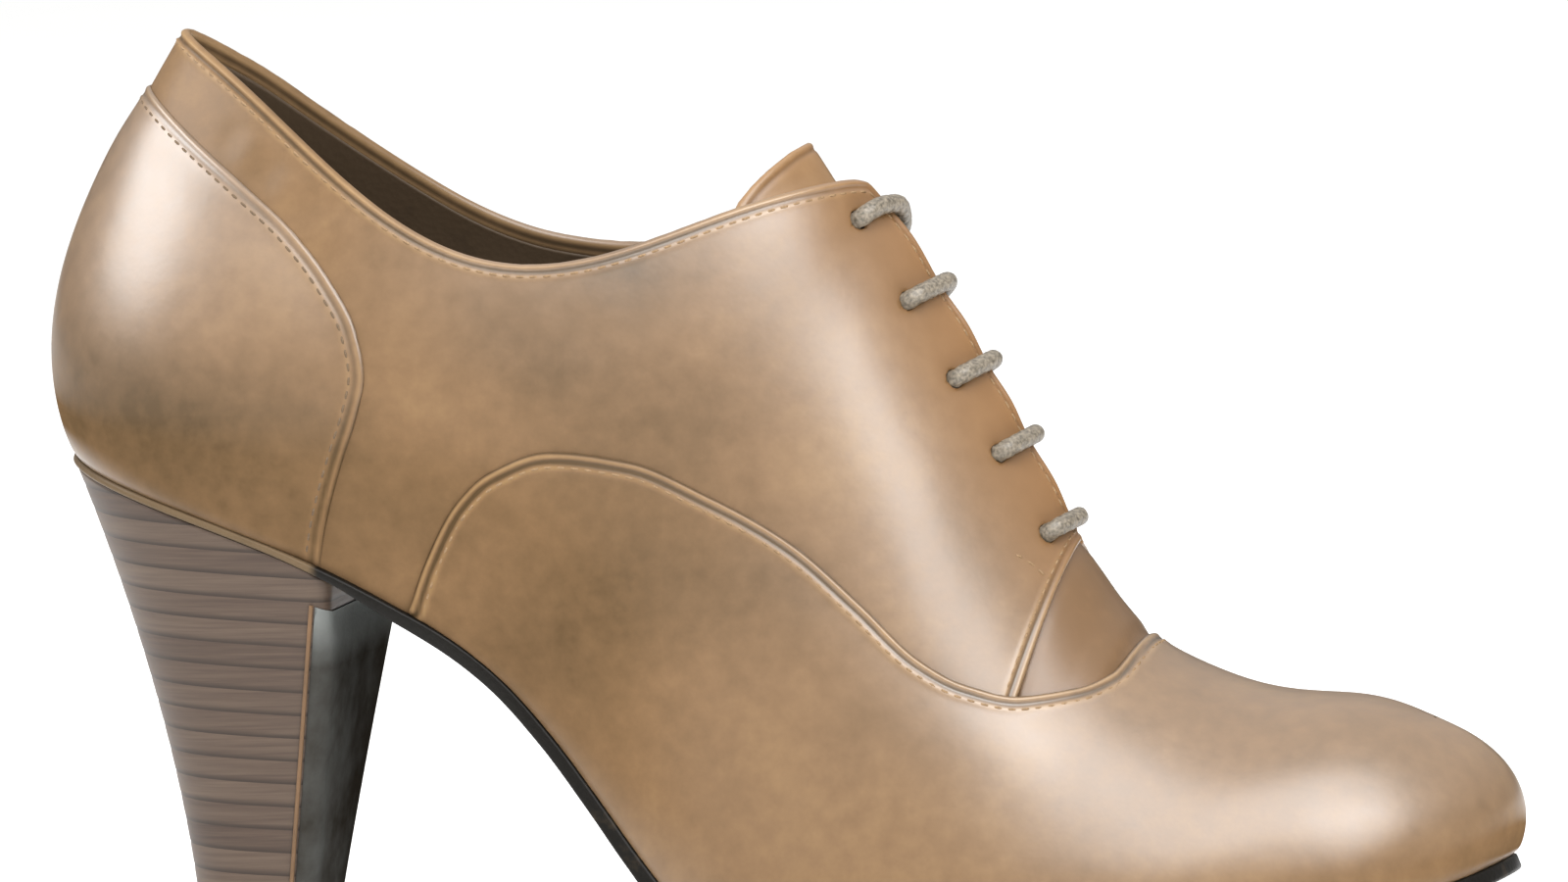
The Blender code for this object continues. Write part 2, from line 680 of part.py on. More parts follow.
def capped_rings(name, rings, finish):
    """A solid between stacked rings that run clockwise seen from above."""
    count = len(rings[0])
    faces = [list(range(count))]
    for level in range(len(rings) - 1):
        low, high = level * count, (level + 1) * count
        for i in range(count):
            j = (i + 1) % count
            faces.append([low + i, high + i, high + j, low + j])
    top = (len(rings) - 1) * count
    faces.append(list(range(top + count - 1, top - 1, -1)))
    return make_object(name, np.concatenate(rings), faces, finish)


def heel(stack):
    return capped_rings("heel", heel_rings(), stack)


def heel_top_piece(rubber):
    """The lift that the heel stands on."""
    foot = rounded_breast(heel_outline()[0], HEEL_FOOT_FRONT)
    low = np.column_stack([foot, np.zeros(len(foot))])
    high = np.column_stack([foot, np.full(len(foot), TOP_PIECE - GAP)])
    return capped_rings("heel_top_piece", [low, high], rubber)


def heel_breast(cover):
    """Thin cover on the heel's breast, wrapped round its two corners."""
    inner, outer = heel_rings(GAP), heel_rings(GAP + BREAST_COVER)
    reach = HEEL_CORNER_POINTS - 1
    count = len(inner[0])
    columns = list(range(count - reach, count)) + list(range(reach))
    levels = range(HEEL_LEVELS)
    outside = np.concatenate([outer[level][columns] for level in levels])
    inside = np.concatenate([inner[level][columns] for level in levels])
    numbers = numbered([columns] * HEEL_LEVELS)
    strips = [quad for a, b in zip(numbers, numbers[1:]) for quad in strips_between(a, b)]
    return shell("heel_breast", outside, outside, inside, strips, cover)


def across_ridge(row, y):
    """Loop place and height share of the form at width y, square across the middle line at row."""
    step = 0.02
    middle, way = form(row, 1.0), form(row + step, 1.0) - form(row - step, 1.0)
    if abs(y) < 1e-6:
        return row, 1.0
    rows = np.linspace(row - 0.9, row + 0.1, 101)
    places = rows if y < 0 else LOOP - rows
    heights = np.array([height_at_width(s, abs(y)) for s in places])
    ahead = (form(places, heights) - middle) @ way
    row = float(np.interp(0, ahead, rows))
    s = row if y < 0 else LOOP - row
    return s, height_at_width(s, abs(y))


def lace_bars(cord):
    """Straight bars of the lace from hole to hole over the throat."""
    rows = np.linspace(THROAT_TOP, THROAT_FOOT, 81)
    bars = []
    for number, z in enumerate(LACE_LEVELS):
        row = float(np.interp(-z, -at("rim_z", rows), rows))
        points = []
        for y in np.linspace(-LACE_HOLE_OFFSET, LACE_HOLE_OFFSET, 9):
            s, v = across_ridge(row, y)
            normal = form_normal(s, v) if abs(y) > 1e-6 else upright(form_normal(s, v))
            points.append(form(s, v) + (LACE_RADIUS + 1.2 * GAP) * normal)
        curve = bpy.data.curves.new(f"lace_bar_{number + 1}", "CURVE")
        curve.dimensions = "3D"
        curve.bevel_depth = LACE_RADIUS * MM
        curve.bevel_resolution = 2
        curve.use_fill_caps = True
        spline = curve.splines.new("POLY")
        spline.points.add(len(points) - 1)
        for knot, point in zip(spline.points, points):
            knot.co = (*(point * MM), 1.0)
        curve.materials.append(cord)
        bar = bpy.data.objects.new(curve.name, curve)
        bpy.context.scene.collection.objects.link(bar)
        bars.append(bar)
    return bars


def centre_on_floor(pieces):
    """Hangs the pieces on an empty that puts the middle of their box over the origin."""
    corners = []
    for piece in pieces:
        corners += [v.co for v in piece.data.vertices] if piece.type == "MESH" else []
    corners = np.array(corners)
    middle = (corners.min(0) + corners.max(0)) / 2
    last = bpy.data.objects.new("last", None)
    last.location = (-middle[0], -middle[1], 0)
    bpy.context.scene.collection.objects.link(last)
    for piece in pieces:
        piece.parent = last


def main():
    for old in list(bpy.data.objects):
        bpy.data.objects.remove(old)
    taupe = material("taupe_calf", (0.36, 0.24, 0.145), 0.35)
    tongue_leather = material("tongue_calf", (0.37, 0.25, 0.15), 0.4)
    black_leather = material("black_sole_leather", (0.012, 0.011, 0.010), 0.4)
    dark_lining = material("dark_lining", (0.045, 0.036, 0.026), 0.6)
    stack = material("stacked_lifts", (0.15, 0.115, 0.092), 0.5)
    breast = material("breast_leather", (0.05, 0.048, 0.045), 0.3)
    rubber = material("top_piece_rubber", (0.02, 0.019, 0.018), 0.7)
    cord = material("waxed_lace", (0.33, 0.29, 0.25), 0.6)
    pieces = [
        upper(taupe),
        vamp(taupe),
        counter(taupe),
        tongue(tongue_leather),
        outsole(black_leather),
        insole(dark_lining),
        heel(stack),
        heel_breast(breast),
        heel_top_piece(rubber),
        *lace_bars(cord),
    ]
    centre_on_floor(pieces)


main()
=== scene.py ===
# %% [markdown]
# # Dressing a high-heeled derby shoe
# The shoe's solids come in as a fixed frame. This lesson gives them their looks: leather panels with
# turned edges, seams with stitches, a lace through punched holes, a stacked heel and a black sole.
# Loading comes first, because every piece is placed by the frame and none of it may move.

# %% Load the frame
import math
from collections import namedtuple

import bpy
import numpy as np
from mathutils import Matrix, Vector
from mathutils.kdtree import KDTree


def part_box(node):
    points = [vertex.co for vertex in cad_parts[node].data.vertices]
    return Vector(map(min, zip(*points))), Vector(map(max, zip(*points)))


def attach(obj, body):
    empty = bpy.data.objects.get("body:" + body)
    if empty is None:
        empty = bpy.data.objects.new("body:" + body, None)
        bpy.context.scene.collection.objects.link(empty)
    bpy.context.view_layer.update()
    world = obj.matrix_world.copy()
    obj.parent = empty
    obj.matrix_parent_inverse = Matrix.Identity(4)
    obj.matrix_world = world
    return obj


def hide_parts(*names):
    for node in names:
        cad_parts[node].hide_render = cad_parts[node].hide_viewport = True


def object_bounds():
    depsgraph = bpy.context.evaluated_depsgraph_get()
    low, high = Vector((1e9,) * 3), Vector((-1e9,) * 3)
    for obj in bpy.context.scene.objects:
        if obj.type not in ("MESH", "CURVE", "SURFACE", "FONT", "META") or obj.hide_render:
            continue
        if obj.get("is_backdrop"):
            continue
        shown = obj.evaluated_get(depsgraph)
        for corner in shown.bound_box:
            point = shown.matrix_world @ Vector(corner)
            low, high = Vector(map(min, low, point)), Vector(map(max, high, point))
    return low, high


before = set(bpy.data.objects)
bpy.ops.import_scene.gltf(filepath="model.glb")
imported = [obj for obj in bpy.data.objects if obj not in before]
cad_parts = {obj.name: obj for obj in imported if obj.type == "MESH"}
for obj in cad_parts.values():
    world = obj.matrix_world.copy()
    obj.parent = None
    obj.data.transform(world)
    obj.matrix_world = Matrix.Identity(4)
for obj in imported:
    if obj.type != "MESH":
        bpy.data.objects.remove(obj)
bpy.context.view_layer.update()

MM = 0.001

# %% [markdown]
# ## Camera
# The shoe was seen a little from its toe side and a little from above, and stood turned in the
# picture. A long lens far away keeps the two ends of the shoe at nearly one scale. The camera is
# aimed by one known point: where the floor under the heel's back falls in the 1600 x 900 picture.

# %% Set up the camera
VIEW_TURN, VIEW_RISE, VIEW_ROLL = np.radians((13.0, 5.5, 3.2))
PICTURE_WIDTH, PICTURE_HEIGHT = 1600, 900
PIXELS_PER_MM = 6.75
KNOWN_PIXEL = (62, 1005)  # picture place of the known point, below the picture's edge
KNOWN_POINT = np.array([-115.66, 0.0, 0.0])
NEAR_SIDE = 5.0  # from the known point towards the camera, where the scale holds
CAMERA_AWAY = 4500.0
SENSOR = 36.0

view_back = np.array([math.sin(VIEW_TURN) * math.cos(VIEW_RISE),
                      -math.cos(VIEW_TURN) * math.cos(VIEW_RISE), math.sin(VIEW_RISE)])
level = np.array([math.cos(VIEW_TURN), math.sin(VIEW_TURN), 0.0])
upright = np.cross(view_back, level)
view_right = math.cos(VIEW_ROLL) * level - math.sin(VIEW_ROLL) * upright
view_up = math.sin(VIEW_ROLL) * level + math.cos(VIEW_ROLL) * upright
aim = (KNOWN_POINT + view_right * (PICTURE_WIDTH / 2 - KNOWN_PIXEL[0]) / PIXELS_PER_MM
       + view_up * (KNOWN_PIXEL[1] - PICTURE_HEIGHT / 2) / PIXELS_PER_MM + view_back * NEAR_SIDE)

camera_data = bpy.data.cameras.new("camera")
camera_data.sensor_width = SENSOR
camera_data.lens = SENSOR * CAMERA_AWAY * PIXELS_PER_MM / PICTURE_WIDTH
camera_data.clip_end = 100.0
camera = bpy.data.objects.new("camera", camera_data)
spin = Matrix(np.stack([view_right, view_up, view_back], 1).tolist()).to_4x4()
camera.matrix_world = Matrix.Translation(Vector((aim + view_back * CAMERA_AWAY) * MM)) @ spin
bpy.context.scene.collection.objects.link(camera)
bpy.context.scene.camera = camera
print("camera: lens", round(camera_data.lens), "mm, height", round(camera.location.z, 3), "m")

# %% [markdown]
# ## The last
# A shoe is stretched over a last, and every panel follows it. The solids were cut from one form: a
# loop of sections that climb from the feather edge, where the upper meets the sole, to the rim. The
# same tables are repeated here, so that finer panels can be laid on the same form. Sizes are in
# millimetres, +X to the toe, +Y to the inner side of the foot.

# %% Sizes shared with the solids
WALL = 1.5
GAP = 0.35
SOLE_EDGE = 1.2
TOP_PIECE = 5.0
OUTER_FACING, INNER_FACING = 1.0, 4.2  # each facing's edge from the middle line
OUTER_CORNER, INNER_CORNER = 3.5, 7.5  # the same at the round top corner of each facing
LACE_HOLE_OFFSET = 9.0
LACE_LEVELS = (115.6, 101.9, 90.0, 78.5, 65.8)  # height of the middle line under each bar
LACE_ROWS = len(LACE_LEVELS)
HEEL_FOOT_BACK, HEEL_FOOT_FRONT, HEEL_FOOT_HALF_WIDTH = 18.0, 35.5, 11.0
HEEL_BREAST_TOP, HEEL_CORNER = 46.5, 3.4
HEEL_BACK_CURVE, HEEL_SIDE_CURVE, HEEL_BREAST_CURVE = 1.75, 1.35, 1.0

lift_low, lift_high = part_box("heel_top_piece")
LAST_SHIFT = np.array([lift_low.x / MM - HEEL_FOOT_BACK, (lift_low.y + lift_high.y) / 2 / MM, 0.0])
print("last moved by", LAST_SHIFT.round(2), "mm into the frame")

# %% Sections of the last, from the heel back to the toe tip
SECTION_COLUMNS = (
    "name foot_x lateral medial rim_x rim_lateral rim_medial rim_z rim_lift "
    "swing foot_out foot_up rim_out rim_down lean"
)
Section = namedtuple("Section", SECTION_COLUMNS)
SECTIONS = [
    Section("heel back", 3.8, 0, 0, 22.9, 0, 0, 144.6, 0, 180, 14, 20, 9.4, 26, 1),
    Section("heel round", 10.8, 16.4, 16.4, 30, 9, 10, 139.9, -1.0, 140, 12, 20, 8, 25, 1),
    Section("seat side", 26, 23.4, 23.2, 41, 16.2, 18, 131.4, -2.4, 105, 9, 19, 7, 22, 1),
    Section("seat front", 44, 24.6, 24.0, 57, 22.7, 24, 118.2, -1.6, 92, 7.5, 18, 6, 19, 1),
    Section("waist back", 60, 23.8, 22.7, 74, 26, 26.5, 110.2, -1.2, 90, 7, 19, 6.5, 18, 1),
    Section("waist", 75, 23.2, 21.0, 92, 25.7, 25.5, 110.6, -2.4, 90, 10.5, 23.5, 9, 24.5, 1),
    Section("waist front", 90, 26.5, 23.3, 110.5, 19.6, 19.5, 116.0, -1.5, 90, 7.5, 28, 12.5, 28, 1),
    Section("collar corner", 101, 30.5, 27.0, 124.4, 9.4, 9.0, 118.7, -2.2, 90, 5, 36, 16, 19, 1),
    Section("throat top", 109, 32.6, 29.7, 130.6, 0, 0, 114.6, 0, 90, 4.5, 38, 21.5, 5, 1),
    Section("facing", 123, 34.7, 33.0, 142.5, 0, 0, 93.8, 0, 90, 4, 42, 18, 7.5, 1),
    Section("throat foot", 140, 35.2, 35.2, 157.3, 0, 0, 62.8, 0, 90, 3.5, 25, 17, 1, 1),
    Section("seam centre", 155, 34.2, 35.8, 166, 0, 0, 47.4, 0, 90, 3, 19, 18.8, 0, 1),
    Section("vamp", 172, 31.8, 34.6, 181.8, 0, 0, 38.9, 0, 90, 3, 15.5, 20, 0, 1),
    Section("toe box", 190, 27.4, 30.4, 196.5, 0, 0, 36.8, 0, 86, 3, 13.5, 18.5, 0, 0.5),
    Section("toe corner", 205, 21, 24.6, 204, 0, 0, 34.8, 0, 60, 3.5, 12, 12.9, 1.8, 0),
    Section("toe side", 215, 11, 15.5, 207.5, 0, 0, 33.5, 0, 32, 4.5, 10.5, 9.4, 3.2, 0),
    Section("toe tip", 218.3, -2.5, 2.5, 209, 0, 0, 33.0, 0, 0, 5.5, 9, 8.8, 3.7, 0),
]
COLLAR_CORNER, THROAT_TOP, THROAT_FOOT, SEAM_CENTRE = 7, 8, 10, 11
TOE_TIP = len(SECTIONS) - 1
LOOP = 2 * TOE_TIP

# %% Bottom line and seams in side view
Bottom = namedtuple("Bottom", "x z thickness")
BOTTOM = [Bottom(*row) for row in (
    (-4, 83.6, 0.9), (4.2, 80.6, 0.9), (17, 76.0, 0.9), (36.5, 68.3, 0.9), (46.5, 63.5, 1.1),
    (56, 58.1, 1.8), (64, 53.0, 2.0), (71.4, 46.7, 2.0), (79, 37.9, 2.0), (86.7, 27.5, 2.1),
    (91.8, 20.4, 2.2), (97, 14.0, 2.4), (102.5, 8.7, 2.6), (108.5, 5.0, 2.7), (115, 3.2, 2.8),
    (121, 2.8, 2.8), (150, 2.8, 2.8), (165, 3.5, 2.7), (180, 5.0, 2.6), (195, 7.0, 2.5),
    (208, 9.3, 2.4), (215, 10.9, 2.3), (219, 12.2, 2.2), (226, 15.0, 2.2),
)]
Seam = namedtuple("Seam", "x z")
VAMP_SEAM = [Seam(*row) for row in (
    (58.1, 57.0), (61.6, 64.4), (67.8, 74.0), (73.5, 78.6), (82.8, 81.5), (94.9, 79.6), (106.9, 73.6),
    (118.9, 65.9), (129, 56.6), (137.2, 48.3), (143.9, 44.1), (151.8, 41.8), (159.1, 42.2),
    (163.2, 43.6), (166.0, 48.0),
)]
COUNTER_SEAM = [Seam(*row) for row in (
    (44.2, 60.0), (45.4, 66.0), (47.4, 72.5), (50.6, 81.1), (53.2, 87.7), (54.6, 93.6), (53.4, 100.3),
    (49.6, 107.4), (43.3, 115.2), (35.0, 122.3), (26.3, 129.0), (17.5, 136.0),
)]


# %% Interpolation between sections
def smooth_tangents(values):
    """Slopes of a closed cubic spline through the values, one unit apart."""
    count = len(values)
    matrix = 4 * np.eye(count) + np.roll(np.eye(count), 1, 0) + np.roll(np.eye(count), -1, 0)
    return np.linalg.solve(matrix, 3 * (np.roll(values, -1) - np.roll(values, 1)))


def flat_tangents(values):
    """Slopes that never overshoot, so a row of equal values stays level."""
    after = np.roll(values, -1) - values
    before = values - np.roll(values, 1)
    same_way = after * before > 0
    return np.where(same_way, 2 * after * before / np.where(same_way, after + before, 1.0), 0.0)


def cubic(low, high, slope_low, slope_high, t):
    return (low * (1 + 2 * t) * (1 - t) ** 2 + slope_low * t * (1 - t) ** 2
            + high * t * t * (3 - 2 * t) + slope_high * t * t * (t - 1))


def smoothstep(share):
    """An S-shaped rise from 0 to 1."""
    share = np.clip(share, 0, 1)
    return share**2 * (3 - 2 * share)


def bell(distance, width):
    """1 on a line, falling softly to 0 a few widths away from it."""
    return np.exp(-((distance / width) ** 2))


def along(table, column, x, key="x"):
    """A table's column at x, on a curve that keeps level stretches level."""
    places = np.array([getattr(row, key) for row in table], float)
    values = np.array([getattr(row, column) for row in table], float)
    step = np.diff(places)
    slope = np.diff(values) / step
    same_way = slope[1:] * slope[:-1] > 0
    inner = 2 * slope[1:] * slope[:-1] / np.where(same_way, slope[1:] + slope[:-1], 1)
    tangent = np.concatenate([slope[:1], np.where(same_way, inner, 0), slope[-1:]])
    x = np.clip(np.asarray(x, float), places[0], places[-1])
    first = np.clip(np.searchsorted(places, x) - 1, 0, len(step) - 1)
    t = (x - places[first]) / step[first]
    return cubic(values[first], values[first + 1], tangent[first] * step[first],
                 tangent[first + 1] * step[first], t)


def loop_columns():
    """Each section value round the whole shoe: outer side to the toe, then inner side back."""
    both = [(row, -1) for row in SECTIONS] + [(row, 1) for row in SECTIONS[-2:0:-1]]
    plain = "foot_x foot_out foot_up rim_x rim_z rim_out rim_down".split()
    smooth = {name: [getattr(row, name) for row, _ in both] for name in plain}
    smooth["foot_y"] = [-row.lateral if side < 0 else row.medial for row, side in both]
    smooth["rim_y"] = [-row.rim_lateral if side < 0 else row.rim_medial for row, side in both]
    smooth["out_x"] = [math.cos(math.radians(row.swing)) for row, _ in both]
    smooth["out_y"] = [side * math.sin(math.radians(row.swing)) for row, side in both]
    flat = {
        "rim_lift": [row.rim_lift if side > 0 else 0 for row, side in both],
        "lean": [row.lean for row, _ in both],
    }
    columns = {}
    for group, slopes in ((smooth, smooth_tangents), (flat, flat_tangents)):
        for name, values in group.items():
            values = np.array(values, float)
            columns[name] = (values, slopes(values))
    rim_y, slope = columns["rim_y"]
    closed = np.abs((np.arange(LOOP) + TOE_TIP) % LOOP - TOE_TIP) >= THROAT_FOOT
    columns["rim_y"] = (rim_y, np.where(closed, 0.0, slope))  # both sides meet on the middle line
    return columns


COLUMNS = loop_columns()


def at(column, s):
    """A section column at loop place s."""
    values, slopes = COLUMNS[column]
    s = np.asarray(s, float) % LOOP
    first = np.floor(s).astype(int) % LOOP
    after = (first + 1) % LOOP
    return cubic(values[first], values[after], slopes[first], slopes[after], s - np.floor(s))


def own_row(s):
    """Section row of a loop place, the same on both sides."""
    return np.abs((np.asarray(s, float) + TOE_TIP) % LOOP - TOE_TIP)


print("last: loop of", LOOP, "sections")


# %% The form and its normals
def unit(vectors):
    return vectors / np.linalg.norm(vectors, axis=-1, keepdims=True)


def bottom_normal(x):
    """Upward normal of the outsole's top, in the XZ plane."""
    step = 0.05
    slope = (along(BOTTOM, "z", x + step) - along(BOTTOM, "z", x - step)) / (2 * step)
    return unit(np.stack([-slope, np.zeros_like(slope), np.ones_like(slope)], -1))


def form(s, v):
    """Point of the upper's outer face at loop place s and height share v, for arrays of both."""
    s, v = np.broadcast_arrays(np.asarray(s, float), np.asarray(v, float))
    foot_x, foot_y = at("foot_x", s), at("foot_y", s)
    foot = np.stack([foot_x, foot_y, along(BOTTOM, "z", foot_x)], -1) + GAP * bottom_normal(foot_x)
    rim = np.stack([at("rim_x", s), at("rim_y", s), at("rim_z", s) + at("rim_lift", s)], -1)
    out = np.stack([at("out_x", s), at("out_y", s), np.zeros_like(foot_x)], -1)
    slope = at("lean", s) * (rim[..., 0] - foot[..., 0]) / (rim[..., 2] - foot[..., 2])
    climb = np.stack([slope, np.zeros_like(slope), np.ones_like(slope)], -1)
    foot_handle = foot + at("foot_out", s)[..., None] * out + at("foot_up", s)[..., None] * climb
    rim_handle = rim + at("rim_out", s)[..., None] * out - at("rim_down", s)[..., None] * climb
    v = v[..., None]
    return ((1 - v) ** 3 * foot + 3 * (1 - v) ** 2 * v * foot_handle
            + 3 * (1 - v) * v**2 * rim_handle + v**3 * rim)


def form_normal(s, v):
    """Outward normal of the form."""
    step = 0.004
    s, v = np.broadcast_arrays(np.asarray(s, float), np.asarray(v, float))
    low, high = np.clip(v - step, 0, 1), np.clip(v + step, 0, 1)
    return unit(np.cross(form(s + step, v) - form(s - step, v), form(s, high) - form(s, low)))


def panel_normal(s, v):
    """Normal of the form, turned along the outsole where a panel ends on it."""
    normal = form_normal(s, v)
    down = bottom_normal(at("foot_x", s))
    share = np.clip(1 - np.asarray(v) / 0.12, 0, 1)
    return unit(normal - (share * (normal * down).sum(-1))[..., None] * down)


# %% Where a section meets a seam or a width
SAMPLES = np.linspace(0, 1, 301)
LAST_SAMPLE = len(SAMPLES) - 1


def under_vamp_seam(x, z):
    depth = np.where(x < VAMP_SEAM[0].x, -1.0, along(VAMP_SEAM, "z", x) - z)
    return np.where(x > VAMP_SEAM[-1].x, 1.0, depth)


def behind_counter_seam(x, z):
    depth = along(COUNTER_SEAM, "x", z, key="z") - x
    return np.where(z > COUNTER_SEAM[-1].z, -1.0, depth)


def heights_inside(s, depth_of):
    """Lowest and highest share v of each section inside a seam, and whether there is any."""
    points = form(np.asarray(s)[:, None], SAMPLES)
    depth = depth_of(points[..., 0], points[..., 2])
    inside = depth > 0
    pick = np.arange(len(s))
    first, last = inside.argmax(1), LAST_SAMPLE - inside[:, ::-1].argmax(1)

    def crossing(outer, inner):
        fall = depth[pick, outer] - depth[pick, inner]
        share = depth[pick, outer] / np.where(fall == 0, 1, fall)
        return SAMPLES[outer] + (SAMPLES[inner] - SAMPLES[outer]) * share

    low = np.where(first == 0, 0.0, crossing(np.maximum(first - 1, 0), first))
    high = np.where(last == LAST_SAMPLE, 1.0, crossing(np.minimum(last + 1, LAST_SAMPLE), last))
    return low, high, inside.any(1)


def height_at_width(s, half_width):
    """Share v where each section comes in to that half width, or 1 where its rim is wider."""
    s = np.atleast_1d(s)
    half_width = np.broadcast_to(half_width, s.shape)
    width = np.abs(form(s[:, None], SAMPLES)[..., 1])
    pick = np.arange(len(s))
    last = LAST_SAMPLE - np.argmax(width[:, ::-1] >= half_width[:, None], axis=1)
    after = np.minimum(last + 1, LAST_SAMPLE)
    drop = width[pick, last] - width[pick, after]
    part = (width[pick, last] - half_width) / np.where(drop == 0, 1, drop)
    return np.where(after > last, SAMPLES[last] + part * (SAMPLES[after] - SAMPLES[last]), 1.0)


def rim_height(s):
    """Height share of the quarters' edge: the collar at the back, the facing along the throat."""
    outer = np.asarray(s) % LOOP < TOE_TIP
    edge, corner = np.where(outer, OUTER_FACING, INNER_FACING), np.where(outer, OUTER_CORNER, INNER_CORNER)
    share = np.clip((THROAT_TOP + 0.6 - own_row(s)) / 1.1, 0, 1)
    half_gap = edge + (corner - edge) * share**2
    return np.where(own_row(s) > COLLAR_CORNER, height_at_width(s, half_gap), 1.0)


def vamp_height(s):
    """Height share of the vamp's edge, 1 where both sides meet on the middle line."""
    return np.where(own_row(s) >= SEAM_CENTRE, 1.0, heights_inside(s, under_vamp_seam)[1])


# %% [markdown]
# ## Mesh helpers
# A panel is a grid laid on the form. Its lines crowd together near edges, where turned leather and
# stitches need fine points, and spread out in the middle. Two copies of the grid, one for the grain
# side and one for the flesh side, are closed along every open edge, so each panel is a real sheet.
# Thread, lace, sole and heel are made of closed rings of points, each joined to the next.

# %% Grids on the form
def grid_places(first, last, spacing):
    """Loop places from first to last, about spacing(row) millimetres apart."""
    s = np.linspace(first, last, 2401)
    middle_row = own_row((s[1:] + s[:-1]) / 2)
    reach = np.max([np.linalg.norm(np.diff(form(s, share), axis=0), axis=1)
                    for share in (0.1, 0.5, 0.97)], axis=0)
    count = np.concatenate([[0], np.cumsum(reach / spacing(middle_row))])
    return np.interp(np.linspace(0, count[-1], math.ceil(count[-1]) + 1), count, s)


def two_sided(count, power=1.9):
    """Shares from 0 to 1 that crowd at both ends."""
    u = np.linspace(0, 1, count)
    low = 0.5 * (2 * np.minimum(u, 1 - u)) ** power
    return np.where(u < 0.5, low, 1 - low)


def panel_grid(places, high, lines, low=0.0, power=1.9):
    """Loop places and height shares of a grid between two heights of each section."""
    low = np.broadcast_to(low, high.shape)[:, None]
    return np.repeat(places[:, None], lines, 1), low + (high[:, None] - low) * two_sided(lines, power)


def grid_faces(lines, rows, closed=False):
    """Quads between neighbouring lines, facing outwards."""
    number = np.arange(lines * rows).reshape(lines, rows)
    if closed:
        number = np.vstack([number, number[:1]])
    a, b = number[:-1], number[1:]
    return np.stack([a[:, :-1], b[:, :-1], b[:, 1:], a[:, 1:]], -1).reshape(-1, 4)


# %% Lines and distances
def lengths_along(points):
    """Length of a polyline up to each of its points."""
    return np.concatenate([[0], np.cumsum(np.linalg.norm(np.diff(points, axis=0), axis=1))])


def read_line(values, length, places):
    """A polyline's values at some places along it."""
    return np.stack([np.interp(places, length, values[:, k]) for k in range(3)], -1)


def dense(points, step=0.15):
    """A polyline with a point at each step."""
    length = lengths_along(points)
    return read_line(points, length, np.linspace(0, length[-1], max(2, int(length[-1] / step))))


def tree_of(points):
    tree = KDTree(len(points))
    for number, point in enumerate(points):
        tree.insert(point, number)
    tree.balance()
    return tree


def nearest(tree, points):
    """Number of the tree's point next to each point."""
    return np.array([tree.find(point)[1] for point in points])


def distance_to(points, line):
    """Distance of each point from a line."""
    tree = tree_of(dense(line))
    flat = points.reshape(-1, 3)
    return np.array([tree.find(point)[2] for point in flat]).reshape(points.shape[:-1])


# %% Rings
def circle_of(first, second, sides):
    """A unit circle round each place, from two ways square to each other."""
    turn = 2 * math.pi * np.arange(sides) / sides
    return first[:, None] * np.cos(turn)[:, None] + second[:, None] * np.sin(turn)[:, None]


def ring_quads(rings, sides, inside_out=False):
    """Quads between neighbouring closed rings of points."""
    number = np.arange(rings * sides).reshape(rings, sides)
    after = np.roll(number, -1, 1)
    corners = (number[:-1], after[:-1], after[1:], number[1:])
    if inside_out:
        corners = (number[:-1], number[1:], after[1:], after[:-1])
    return np.stack(corners, -1).reshape(-1, 4).tolist()


def capped_faces(rings, sides, inside_out=False):
    """The same with a cap on each end, so that the rings make a solid."""
    first, last = list(range(sides)), list(range((rings - 1) * sides, rings * sides))
    caps = [first, last[::-1]] if inside_out else [first[::-1], last]
    return ring_quads(rings, sides, inside_out) + caps


# %% Pieces and closed sheets
def make_piece(name, points, faces, finish, replaced=(), marks=None):
    """A named piece of the shoe from points in millimetres of the last, riding on the one body."""
    mesh = bpy.data.meshes.new(name)
    mesh.from_pydata(((np.asarray(points) + LAST_SHIFT) * MM).tolist(), [],
                     [list(map(int, face)) for face in faces])
    for kind, values in (marks or {}).items():
        layer = mesh.attributes.new(kind, "FLOAT", "POINT")
        layer.data.foreach_set("value", np.asarray(values, np.float32))
    mesh.validate()
    mesh.shade_smooth()
    mesh.materials.append(finish)
    piece = bpy.data.objects.new(name, mesh)
    bpy.context.scene.collection.objects.link(piece)
    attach(piece, "root")
    if replaced:
        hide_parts(*replaced)
    print(name, len(points), "points,", sum(len(face) - 2 for face in faces), "triangles")


def make_sheet(name, base, outside, inside, faces, finish, slot, replaced, marks):
    """A closed sheet between two faces, welded where its base points meet, with its marks."""
    _, index = np.unique(np.round(base.reshape(-1, 3), 3), axis=0, return_inverse=True)
    index = index.reshape(-1)
    size = np.bincount(index)[:, None]
    count = len(size)

    def welded(points):
        total = np.zeros((count, 3))
        np.add.at(total, index, points.reshape(-1, 3))
        return total / size

    faces = index[faces]
    edges = {(a, b) for face in faces.tolist() for a, b in zip(face, face[1:] + face[:1])}
    rim = sorted((b, a, a + count, b + count) for a, b in edges if (b, a) not in edges)
    skin = np.concatenate([faces, faces[:, ::-1] + count, np.array(rim)])
    used = np.unique(skin)  # a punched panel leaves points over
    renumber = np.full(2 * count, -1)
    renumber[used] = np.arange(len(used))
    both = {}
    for kind, values in marks.items():
        single = np.zeros(count)
        single[index] = values.reshape(-1)
        both[kind] = np.tile(single, 2)[used]
    points = np.concatenate([welded(outside), welded(inside)])[used]
    make_piece(name, points, renumber[skin], finish, replaced, both)


# %% [markdown]
# ## Finishes
# One function adds a node, with its options, its fixed inputs and its links, and a few short ones
# use it for what every finish needs: clouds, marks of the mesh, a ramp of dye and a bump. Colours are
# written as sRGB hex values, as a colour picker shows them, and turned to linear values.

